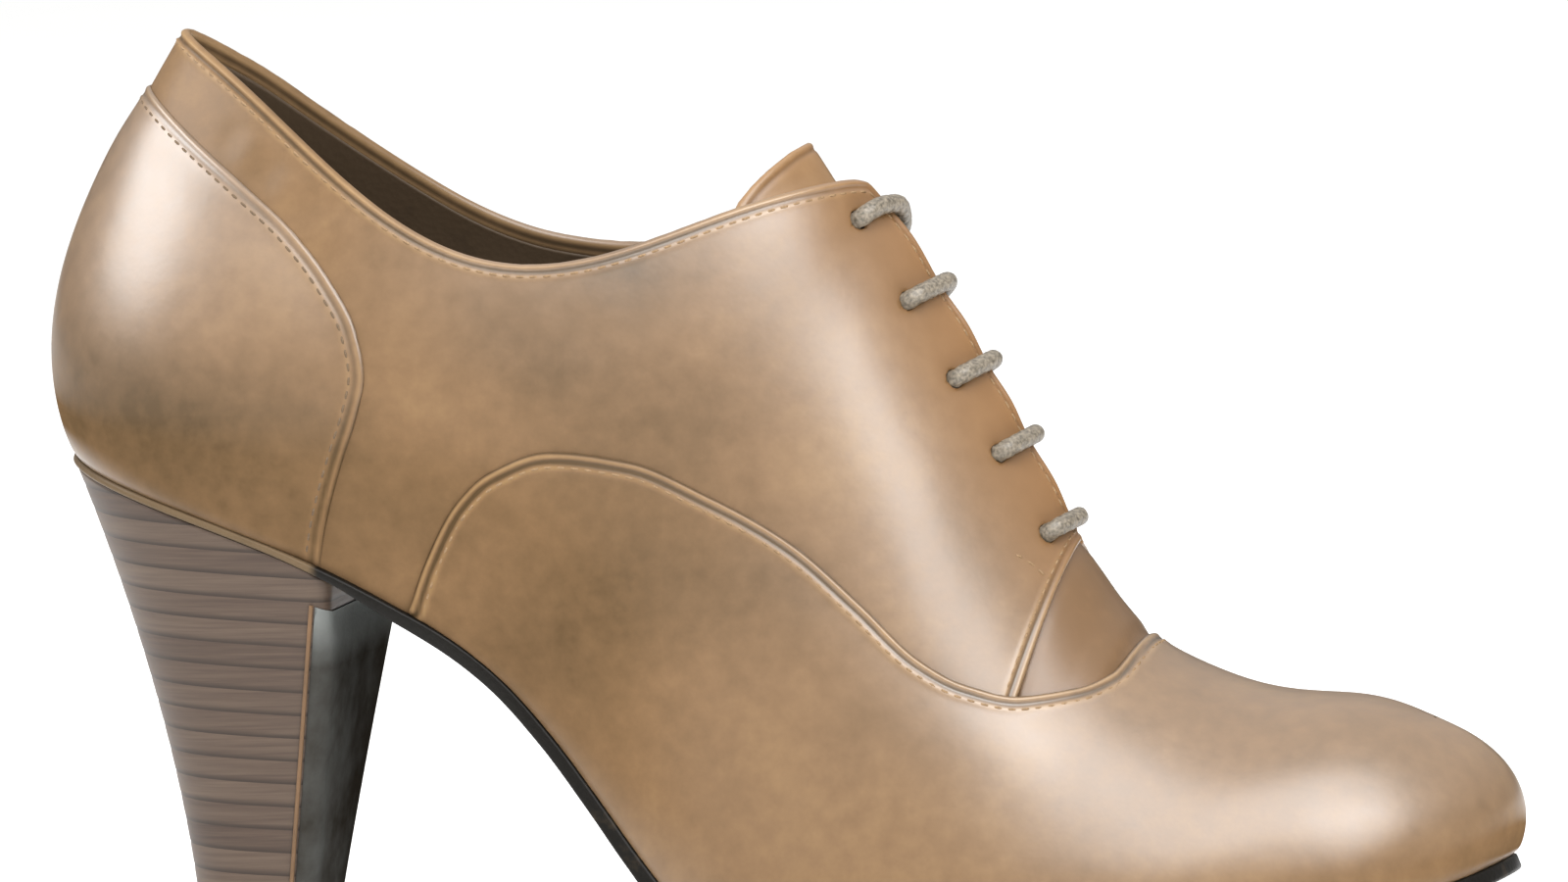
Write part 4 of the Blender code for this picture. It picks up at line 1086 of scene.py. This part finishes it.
def tongue_line(row):
    """Outer and inner points across the tongue at a section row."""
    depth, half_width, thickness = (
        along(TONGUE_ROWS, name, row, key="section") for name in TongueRow._fields[1:])
    s = np.where(column_share <= 0, row, LOOP - row)
    wide = np.abs(column_share) * half_width
    v = np.where(wide < 1e-6, 1.0, height_at_width(s, wide))
    face, normal = form(s, v), form_normal(s, v)
    same = np.ones_like(wide)
    normal = unit(normal * np.stack([same, np.minimum(wide / 3, 1), same], -1))
    return face - depth * normal, face - (depth + thickness) * normal


def tongue_tip_line(step, base):
    """Points across the free tip, whose own arch takes over from the throat's section."""
    reach, half_width, arch, own = (
        along(TONGUE_TIP, name, step, key="step") for name in TongueTip._fields[1:])
    down = np.array([-TONGUE_TIP_WAY[2], 0, TONGUE_TIP_WAY[0]])
    middle = base[TONGUE_COLUMNS // 2]
    share = column_share[:, None]
    arched = middle + share * np.array([0, half_width, 0]) + arch * np.abs(share) ** 1.7 * down
    return (1 - own) * base + own * arched + reach * TONGUE_TIP_WAY


# %% Cut the tongue
tongue_stations = np.concatenate([
    np.linspace(8, 9.8, 60), np.linspace(9.8, 10.5, 36)[1:], np.linspace(10.5, 11.5, 24)[1:]])
body_lines = [tongue_line(row) for row in tongue_stations]
tip_steps = 7 - 7 * np.linspace(0, 1, 44)[:-1] ** 1.3
tip_lines = [[tongue_tip_line(step, face) for face in body_lines[0]] for step in tip_steps]
tongue_out, tongue_in = (np.array([line[k] for line in tip_lines + body_lines]) for k in (0, 1))
tongue_edge = np.concatenate([tongue_out[::-1, 0], tongue_out[0], tongue_out[:, -1]])
to_tongue_edge = distance_to(tongue_out, tongue_edge)
opened = nose(to_tongue_edge, 0.6)[..., None]
tongue_furrow = sewn_edge(to_tongue_edge, OVERLAY_STITCH)[0]
way_in = unit(tongue_in - tongue_out)
tongue_centre = (tongue_out + tongue_in) / 2
pressed_out = tongue_out + OVERLAY_FURROW * tongue_furrow[..., None] * way_in
tongue_top = tongue_centre + (pressed_out - tongue_centre) * opened
tongue_under = tongue_centre + (tongue_in - tongue_centre) * opened
even = np.ones(tongue_furrow.shape)
tongue_rows = np.concatenate([np.full(len(tip_lines), 7.0), tongue_stations])
# The furrow mark paints shade along the tongue's stitch furrow.
tongue_marks = {
    "tone": np.interp(tongue_rows, (8.0, 8.4, 9.8, 10.0), (0.4, 0.0, 0.0, -1.0))[:, None] * even,
    "furrow": tongue_furrow,
    "warm": 0.5 * even,
    "polish": 0.6 * even,
}
make_sheet("tongue_leather", tongue_centre, tongue_top, tongue_under, grid_faces(*even.shape),
           tongue_calf, "tongue_leather", ("tongue",), tongue_marks)

# %% [markdown]
# ## Stitches
# A lockstitch shows as a row of short, slightly sunk threads. Each row follows an edge at a fixed
# distance: the edge line is moved sideways along the leather, settled on the panel's own points, and
# cut into stitches. All stitches of a row are one mesh.

# %% Sew along a line
STITCH, STITCH_GAP, THREAD_RADIUS = 1.6, 0.5, 0.2
THREAD_SIDES = 6
StitchRing = namedtuple("StitchRing", "place size lift")
STITCH_RINGS = [StitchRing(*row) for row in (
    (-1.0, 0.45, -0.2), (-0.6, 0.9, -0.05), (0.0, 1.0, 0.0), (0.6, 0.9, -0.05), (1.0, 0.45, -0.2),
)]


def stitch_points(line, ways):
    """Rings of points for a row of stitches along a line with outward ways."""
    length = lengths_along(line)
    starts = np.arange(0.4, length[-1] - STITCH, STITCH + STITCH_GAP)
    head, tail = read_line(line, length, starts), read_line(line, length, starts + STITCH)
    out = unit(read_line(ways, length, starts + STITCH / 2))
    run = unit(tail - head)
    circle = THREAD_RADIUS * circle_of(out, np.cross(out, run), THREAD_SIDES)
    middle = (head + tail) / 2
    rings = [(middle + run * ring.place * STITCH / 2 + out * ring.lift)[:, None] + circle * ring.size
             for ring in STITCH_RINGS]
    return np.stack(rings, 1).reshape(-1, 3)


def beside(edge, inner_points, inner_ways, distance, inward=-1):
    """A line that runs along an edge at a distance, settled on a panel."""
    edge = dense(edge, 0.5)
    tree = tree_of(inner_points)
    run = unit(np.gradient(edge, axis=0))
    side = unit(np.cross(inner_ways[nearest(tree, edge)], run)) * inward
    line = edge + side * distance
    near = nearest(tree, line)
    ways = inner_ways[near]
    return line - ((line - inner_points[near]) * ways).sum(-1)[:, None] * ways, ways


def sew(name, rows, thread=tan_thread):
    """One piece of thread from several rows of stitches."""
    points = np.concatenate([stitch_points(*row) for row in rows])
    one = capped_faces(len(STITCH_RINGS), THREAD_SIDES, True)
    starts = range(0, len(points), len(STITCH_RINGS) * THREAD_SIDES)
    faces = [[start + corner for corner in face] for start in starts for face in one]
    make_piece(name, points, faces, thread)


# %% Sew the seams
BAR_TACK = ((149.6, 62.2), (152.0, 60.4), (154.2, 58.4))  # in side view, at the foot of the facings


def on_quarter(places, side):
    """A line on the quarter through side view places, on the outer side (-1) or the inner side (1)."""
    own = np.flatnonzero(quarter_points[:, 1] * side > 0)
    near = [own[np.argmin(np.hypot(*(quarter_points[own][:, (0, 2)] - place).T))] for place in places]
    return quarter_points[near], quarter_ways[near]


sew("vamp_stitches", [beside(vamp_edge, vamp_points, vamp_ways, OVERLAY_STITCH)])
sew("counter_stitches", [beside(counter_seam, counter_points, counter_ways, OVERLAY_STITCH)], brown_thread)
sew("topline_stitches", [beside(rim_line, quarter_points, quarter_ways, TOPLINE_STITCH)])
seam_v = float(heights_inside(np.array([float(THROAT_FOOT)]), under_vamp_seam)[1][0])
front_seams = []
for end, inward in ((0, -1), (-1, 1)):
    front_edge = quarter_face[end][q_v[end] > seam_v]
    front_seams.append(beside(front_edge, quarter_points, quarter_ways, FRONT_STITCH, inward))
sew("front_edge_stitches", front_seams + [on_quarter(BAR_TACK, side) for side in (-1, 1)])

# %% [markdown]
# ## Lace
# One round braided lace makes five straight bars. It comes up through a hole, lies tight across the
# throat, goes down the hole on the other side and runs on under that facing to the next row. Both
# ends stop out of sight under the top holes.

# %% Route of the lace
BarStop = namedtuple("BarStop", "y lift")
BAR_STOPS = [BarStop(*row) for row in (
    (-9.0, -2.4), (-9.0, -0.8), (-8.75, 0.5), (-7.6, 1.3), (-5.0, 1.35), (-1.6, 1.2), (1.6, 0.3),
    (4.6, 0.2), (7.6, 0.3), (8.75, -0.2), (9.0, -1.0), (9.0, -2.4),
)]
FAR_DROP = (0.5, 0.0, 0.9, 0.3, 0.9)  # how much deeper each bar lies on the inner side
VISIBLE_LACE, HIDDEN_LACE = 1.4, 0.8  # radius over the throat, and pressed under the facings
HIDDEN_DEPTH = -2.5
RETURN_OFFSET = LACE_HOLE_OFFSET + 3.5  # where the last run goes back up under the inner facing


def over(place, lift):
    return form(*place) + lift * form_normal(*place)


def smooth_line(knots, step=0.3):
    """A smooth curve through knots, read at even steps."""
    knots = np.array(knots)
    ends = np.vstack([2 * knots[0] - knots[1], knots, 2 * knots[-1] - knots[-2]])
    slopes = (ends[2:] - ends[:-2]) / 2
    t = np.linspace(0, 1, 12, endpoint=False)[:, None]
    parts = [cubic(knots[k], knots[k + 1], slopes[k], slopes[k + 1], t) for k in range(len(knots) - 1)]
    return dense(np.concatenate(parts + [knots[-1:]]), step)


lace_knots = []
for number, row in enumerate(BAR_ROWS):
    way = 1 if number % 2 == 0 else -1
    for y, lift in BAR_STOPS[::way]:
        lift -= FAR_DROP[number] * min(max(y / 4, 0), 1)
        lace_knots.append(over(across_ridge(row, y) if number else on_first_bar(y), lift))
    if number + 1 < LACE_ROWS:
        between = (row + BAR_ROWS[number + 1]) / 2
        lace_knots.append(over(across_ridge(between, way * LACE_HOLE_OFFSET), HIDDEN_DEPTH))
for row in np.linspace(BAR_ROWS[-1] - 0.12, BAR_ROWS[0], 6):
    lace_knots.append(over(across_ridge(row, RETURN_OFFSET), HIDDEN_DEPTH))
lace_line = smooth_line(lace_knots)
print("lace:", len(lace_line), "points,", round(lengths_along(lace_line)[-1]), "mm")


# %% Braid the lace
LACE_SIDES = 20
BRAID_PITCH = 4.2  # one strand's turn takes this long
BRAID_STRANDS = 4


def braided_points(line, radius):
    """A round braid along a line: two sets of strands cross over each other."""
    run = unit(np.gradient(line, axis=0))
    side = [unit(np.cross(run[0], (0.3, 0.5, 0.8)))]
    for way in run[1:]:
        side.append(unit(side[-1] - (side[-1] @ way) * way))
    side = np.array(side)
    turn = 2 * math.pi * np.arange(LACE_SIDES) / LACE_SIDES
    twist = math.pi * lengths_along(line)[:, None] / BRAID_PITCH
    strands = np.max([np.cos(BRAID_STRANDS * (turn + way * twist)) for way in (1, -1)], axis=0)
    reach = radius[:, None] * (0.95 + 0.07 * strands)
    circle = circle_of(side, np.cross(run, side), LACE_SIDES)
    return (line[:, None] + reach[..., None] * circle).reshape(-1, 3)


near = nearest(tree_of(quarter_points), lace_line)
under = ((lace_line - quarter_points[near]) * quarter_ways[near]).sum(-1)
pressed = np.clip((under + 2.2) / 1.2, 0, 1)  # the hidden runs are pressed thin under the facings
lace_points = braided_points(lace_line, HIDDEN_LACE + (VISIBLE_LACE - HIDDEN_LACE) * pressed)
make_piece("lace", lace_points, capped_faces(len(lace_line), LACE_SIDES), lace_cotton,
           [f"lace_bar_{number + 1}" for number in range(LACE_ROWS)])

# %% [markdown]
# ## Sole
# The outsole is thin black leather. Its edge is trimmed, so both corners are rounded, and it follows
# the feather edge from the heel seat through the waist to the toe. Over the heel its edge is drawn tan.
# It lies a hair higher than the solid, so that no slit shows under the upper.

# %% Cut the sole
SOLE_ROUND = 0.5
SOLE_RISE = 0.8 * GAP
TAN_FADE = 1.5  # how far behind the breast the black turns tan, and over what length


def plan_outline(s, reach):
    """Feather edge in plan, moved outwards by reach."""
    step = 0.01
    way = unit(np.stack([at(name, s + step) - at(name, s - step) for name in ("foot_x", "foot_y")], -1))
    return np.stack([at("foot_x", s) + reach * way[:, 1], at("foot_y", s) - reach * way[:, 0]], -1)


def across_faces(count):
    """Faces across a closed outline, from each point to its partner on the other side."""
    faces = []
    for i in range(count // 2):
        face = [i, i + 1, (count - i - 1) % count, (count - i) % count]
        faces.append([c for k, c in enumerate(face) if c != face[k - 1]])
    return faces


def sole_ring(s, turn, under):
    """A ring of the sole's rounded edge: turn runs from its flat face to its side."""
    plan = plan_outline(s, SOLE_EDGE - SOLE_ROUND * (1 - math.sin(turn)))
    x = plan[:, 0]
    thick = along(BOTTOM, "thickness", x)
    inward = np.minimum(SOLE_ROUND, thick / 2.2) * (1 - math.cos(turn))
    depth = thick - inward if under else inward - SOLE_RISE
    top = np.column_stack([plan, along(BOTTOM, "z", x)])
    return top - depth[:, None] * bottom_normal(x)


edge_turns = np.linspace(0, math.pi / 2, 5)
half_sole = grid_places(0, TOE_TIP, lambda row: np.full_like(row, 1.2))
sole_s = np.concatenate([half_sole, LOOP - half_sole[-2:0:-1]])
sole_rings = [sole_ring(sole_s, turn, False) for turn in edge_turns]
sole_rings += [sole_ring(sole_s, turn, True) for turn in edge_turns[::-1]]
sole_points = np.concatenate(sole_rings)
last_ring = len(sole_points) - len(sole_s)
sole_faces = across_faces(len(sole_s)) + ring_quads(len(sole_rings), len(sole_s), True)
sole_faces += [[last_ring + corner for corner in face[::-1]] for face in across_faces(len(sole_s))]
seat_share = np.clip((HEEL_BREAST_TOP - TAN_FADE - sole_points[:, 0]) / TAN_FADE, 0, 1)
make_piece("sole", sole_points, sole_faces, black_sole, ("outsole",),
           {"tone": 1.6 * seat_share - 0.6})
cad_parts["insole"].data.materials.clear()
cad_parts["insole"].data.materials.append(sock_leather)

# %% [markdown]
# ## Heel
# The heel block tapers from the seat to a small top piece. Its rings follow the solid's, only closer
# together, a hair higher at the seat so that it meets the sole, and pressed in a little at each glue
# line. The breast is covered with smooth dark leather, whose bare tan edge shows on either side.

# %% Rings of the heel
HEEL_LEVELS, HEEL_ROUND_POINTS, HEEL_CORNER_POINTS = 130, 81, 10
SEAT_GAP = 0.5 * GAP
OVER_BREAST = 1.12  # how far the outline runs on past the half circle, in quarter turns


def heel_outline():
    """Plan points of the heel at the floor and at the seat, from one breast corner round the back."""
    middle = HEEL_FOOT_BACK + HEEL_FOOT_HALF_WIDTH
    rows = np.linspace(0, TOE_TIP, 2000)
    last = rows[np.searchsorted(at("foot_x", rows), HEEL_BREAST_TOP - HEEL_CORNER)]
    share = np.linspace(-1, 1, HEEL_ROUND_POINTS)
    seat = plan_outline(np.where(share > 0, LOOP - share * last, -share * last), SOLE_EDGE - 0.3)
    turn = math.pi / 2 * np.abs(share) * OVER_BREAST
    straight = HEEL_FOOT_FRONT - HEEL_CORNER - middle
    side = np.copysign(HEEL_FOOT_HALF_WIDTH, share)
    beyond = turn >= math.pi / 2
    x = np.where(beyond, middle + straight * (turn / (math.pi / 2) - 1) / (OVER_BREAST - 1),
                 middle - HEEL_FOOT_HALF_WIDTH * np.cos(turn))
    y = np.where(beyond, side, side * np.sin(turn))
    return np.stack([x, y], -1), seat


def rounded_breast(outline, front):
    """Adds the breast with its round corners to an outline that ends a corner short of it."""
    turn = math.pi / 2 * np.arange(1, HEEL_CORNER_POINTS + 1) / HEEL_CORNER_POINTS
    x = front - HEEL_CORNER + HEEL_CORNER * np.sin(turn)
    inward = HEEL_CORNER * (1 - np.cos(turn))
    after = np.stack([x, outline[-1, 1] - inward], -1)
    before = np.stack([x, outline[0, 1] + inward], -1)[::-1]
    return np.concatenate([before, outline, after])


heel_foot, heel_seat = heel_outline()
heel_foot = rounded_breast(heel_foot, HEEL_FOOT_FRONT)
heel_seat = rounded_breast(heel_seat, HEEL_BREAST_TOP)
RING_SIZE = len(heel_foot)


def outward_of(plan):
    """Outward ways of a closed plan that runs clockwise seen from above."""
    way = unit(np.roll(plan, -1, 0) - np.roll(plan, 1, 0))
    return np.stack([-way[:, 1], way[:, 0]], -1)


def heel_rings(shares, outward):
    """Rings of the heel block at height shares from its foot to the seat, moved outwards."""
    forward = np.clip((heel_foot[:, 0] - HEEL_FOOT_BACK) / (HEEL_FOOT_FRONT - HEEL_FOOT_BACK), 0, 1)
    bend = HEEL_BACK_CURVE + (HEEL_BREAST_CURVE - HEEL_BACK_CURVE) * forward
    curves = np.column_stack([bend, np.full_like(bend, HEEL_SIDE_CURVE)])
    seat_x = heel_seat[:, 0]
    seat_z = along(BOTTOM, "z", seat_x) - along(BOTTOM, "thickness", seat_x) - SEAT_GAP
    rings = []
    for t in shares:
        plan = heel_foot + (heel_seat - heel_foot) * t**curves
        z = TOP_PIECE + (seat_z - TOP_PIECE) * t
        out = outward(plan[:, 0], z) if callable(outward) else np.full_like(z, outward)
        rings.append(np.column_stack([plan + out[:, None] * outward_of(plan), z]))
    return np.array(rings)


# %% Stack the heel
GLUE_GROOVE = 0.09


def pressed_glue_lines(x, z):
    """The stack's face, a little lower at each glue line."""
    lift = (z + (x + LAST_SHIFT[0]) * LIFT_LEAN) / LIFT_THICKNESS
    return -GLUE_GROOVE * bell(np.abs(lift - np.round(lift)) * LIFT_THICKNESS, 0.3)


heel_points = heel_rings(np.linspace(0, 1, HEEL_LEVELS), pressed_glue_lines).reshape(-1, 3)
make_piece("heel_lifts", heel_points, capped_faces(HEEL_LEVELS, RING_SIZE, True), heel_stack,
           ("heel",))

# %% Cover the breast
BREAST_COVER = 0.6
BREAST_TOP = 0.92  # height share where the cover ends
BREAST_FINE = 0.03  # height share of the finer rings at its top
BREAST_FADE = 57 / 5.0  # the cover thins out over the last 5 of its 57 mm
BREAST_WRAP = HEEL_CORNER_POINTS - 2  # points of each round corner that it covers
BREAST_WIDTH, BREAST_ROUND = 24, 0.8  # rough width, and how far its edges are rounded
breast_shares = np.concatenate([np.linspace(0, BREAST_TOP - BREAST_FINE, 50),
                                np.linspace(BREAST_TOP - BREAST_FINE, BREAST_TOP, 16)[1:]])
breast_columns = np.r_[RING_SIZE - BREAST_WRAP:RING_SIZE, 0:BREAST_WRAP]
across = np.linspace(0, 1, len(breast_columns))
edge_fade = nose(np.minimum(across, 1 - across) * BREAST_WIDTH, BREAST_ROUND)
top_fade = smoothstep(np.maximum((BREAST_TOP - breast_shares) * BREAST_FADE, 0.02))
inner_rings = heel_rings(breast_shares, SEAT_GAP)[:, breast_columns]
outer_rings = heel_rings(breast_shares, SEAT_GAP + BREAST_COVER)[:, breast_columns]
outer_rings = inner_rings + (outer_rings - inner_rings) * (edge_fade * top_fade[:, None])[..., None]
breast_y = inner_rings[..., 1]
to_outer = (breast_y.max(1, keepdims=True) - breast_y) / np.ptp(breast_y, axis=1, keepdims=True)
# Painted light: a pale sheen near the outer round corner and over the top, darker over the far side.
breast_painted_light = np.interp(to_outer, (0, 0.5, 0.8, 1.0), (-0.42, -0.18, -0.06, -0.22))
breast_painted_light += 0.9 * np.clip(breast_shares / BREAST_TOP * 6 - 5, 0, 1)[:, None]
make_sheet("breast_cover", inner_rings, outer_rings, inner_rings - 0.02,
           grid_faces(*outer_rings.shape[:2])[:, ::-1], breast_leather, "breast_leather",
           ("heel_breast",), {"tone": breast_painted_light})

# %% Bare edge of the breast cover
EDGE_RADIUS, EDGE_SIDES = 0.34, 8
edge_rings = heel_rings(breast_shares, 0.1)
edge_columns = {"breast_edge_outer": BREAST_WRAP, "breast_edge_inner": RING_SIZE - BREAST_WRAP - 1}
for name, column in edge_columns.items():
    edge_line = edge_rings[:, column]
    run = unit(np.gradient(edge_line, axis=0))
    side = unit(np.cross(run, (1.0, 0.0, 0.0)))
    circle = EDGE_RADIUS * circle_of(side, np.cross(run, side), EDGE_SIDES)
    make_piece(name, (edge_line[:, None] + circle).reshape(-1, 3), capped_faces(len(edge_line), EDGE_SIDES),
               raw_edge)

# %% Top piece
TOP_ROUND = 0.6
foot_out = outward_of(heel_foot)
lift_rings = []
for turn in edge_turns:
    plan = heel_foot - TOP_ROUND * (1 - math.sin(turn)) * foot_out
    lift_rings.append(np.column_stack([plan, np.full(RING_SIZE, TOP_ROUND * (1 - math.cos(turn)))]))
lift_rings.append(np.column_stack([heel_foot, np.full(RING_SIZE, TOP_PIECE - GAP)]))
make_piece("top_piece", np.concatenate(lift_rings), capped_faces(len(lift_rings), RING_SIZE, True),
           lift_rubber, ("heel_top_piece",))

# %% [markdown]
# ## Floor and light
# A plain pale floor and three large soft boxes, one to the right of the camera, one far to its left
# and one high over it, give the long blurred highlights on the quarter, the toe and the counter. A
# pale surround, brightest overhead, fills the shadows and keeps the floor white. Colours are shown as
# they are, without a film curve.

# %% Floor
def matt_paper(name, dark, light):
    made, tree, place = surface(name, {"Roughness": 0.9})
    fibre = noise(tree, place, per_mm(40), 3.0)
    return wired(made, {"Base Color": dye(tree, fibre, (0.3, dark), (0.7, light))})


FLOOR_SIZE = 60.0
corner = FLOOR_SIZE / 2
floor_mesh = bpy.data.meshes.new("floor")
floor_mesh.from_pydata([(x * corner, y * corner, 0) for x, y in ((-1, -1), (1, -1), (1, 1), (-1, 1))],
                       [], [(0, 1, 2, 3)])
floor_mesh.materials.append(matt_paper("pale_paper", "#fafaf9", "#fbfbfa"))
floor = bpy.data.objects.new("floor", floor_mesh)
bpy.context.scene.collection.objects.link(floor)
floor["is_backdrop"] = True


# %% Light
def soft_box(name, azimuth, elevation, away, width, height, power):
    """A rectangular light that faces the shoe from a given way; azimuth 0 is the side that shows."""
    turn, rise = math.radians(azimuth), math.radians(elevation)
    way = Vector((math.sin(turn) * math.cos(rise), -math.cos(turn) * math.cos(rise), math.sin(rise)))
    lamp = bpy.data.lights.new(name, "AREA")
    lamp.shape, lamp.size, lamp.size_y, lamp.energy = "RECTANGLE", width, height, power
    box = bpy.data.objects.new(name, lamp)
    box.location = Vector((0, 0, 0.07)) + way * away
    box.rotation_mode = "QUATERNION"
    box.rotation_quaternion = way.to_track_quat("Z", "Y")
    bpy.context.scene.collection.objects.link(box)


soft_box("soft_box_right", 43, 30, 1.3, 0.52, 0.55, 8.7)
soft_box("soft_box_left", -74, 36, 1.2, 0.64, 0.46, 9.8)
soft_box("soft_box_top", 25, 51, 1.3, 1.20, 0.74, 18)
world = bpy.data.worlds.new("surround")
world.use_nodes = True
glow = world.node_tree
way_up = add(glow, "ShaderNodeSeparateXYZ", None, {0: add(glow, "ShaderNodeTexCoord").outputs["Generated"]})
brightness = spread(glow, way_up.outputs["Z"], 0.0, 1.4)
glow.links.new(brightness, glow.nodes["Background"].inputs["Strength"])
glow.nodes["Background"].inputs["Color"].default_value = linear("#ffffff")
bpy.context.scene.world = world
bpy.context.scene.view_settings.view_transform = "Standard"

# %% [markdown]
# ## Size
# The box of the dressed shoe is printed. The dressed shoe has to stay in the box of its
# solids.

# %% Print the size
low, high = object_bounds()
print("visual box in mm", [round(x / MM, 1) for x in low], [round(x / MM, 1) for x in high])
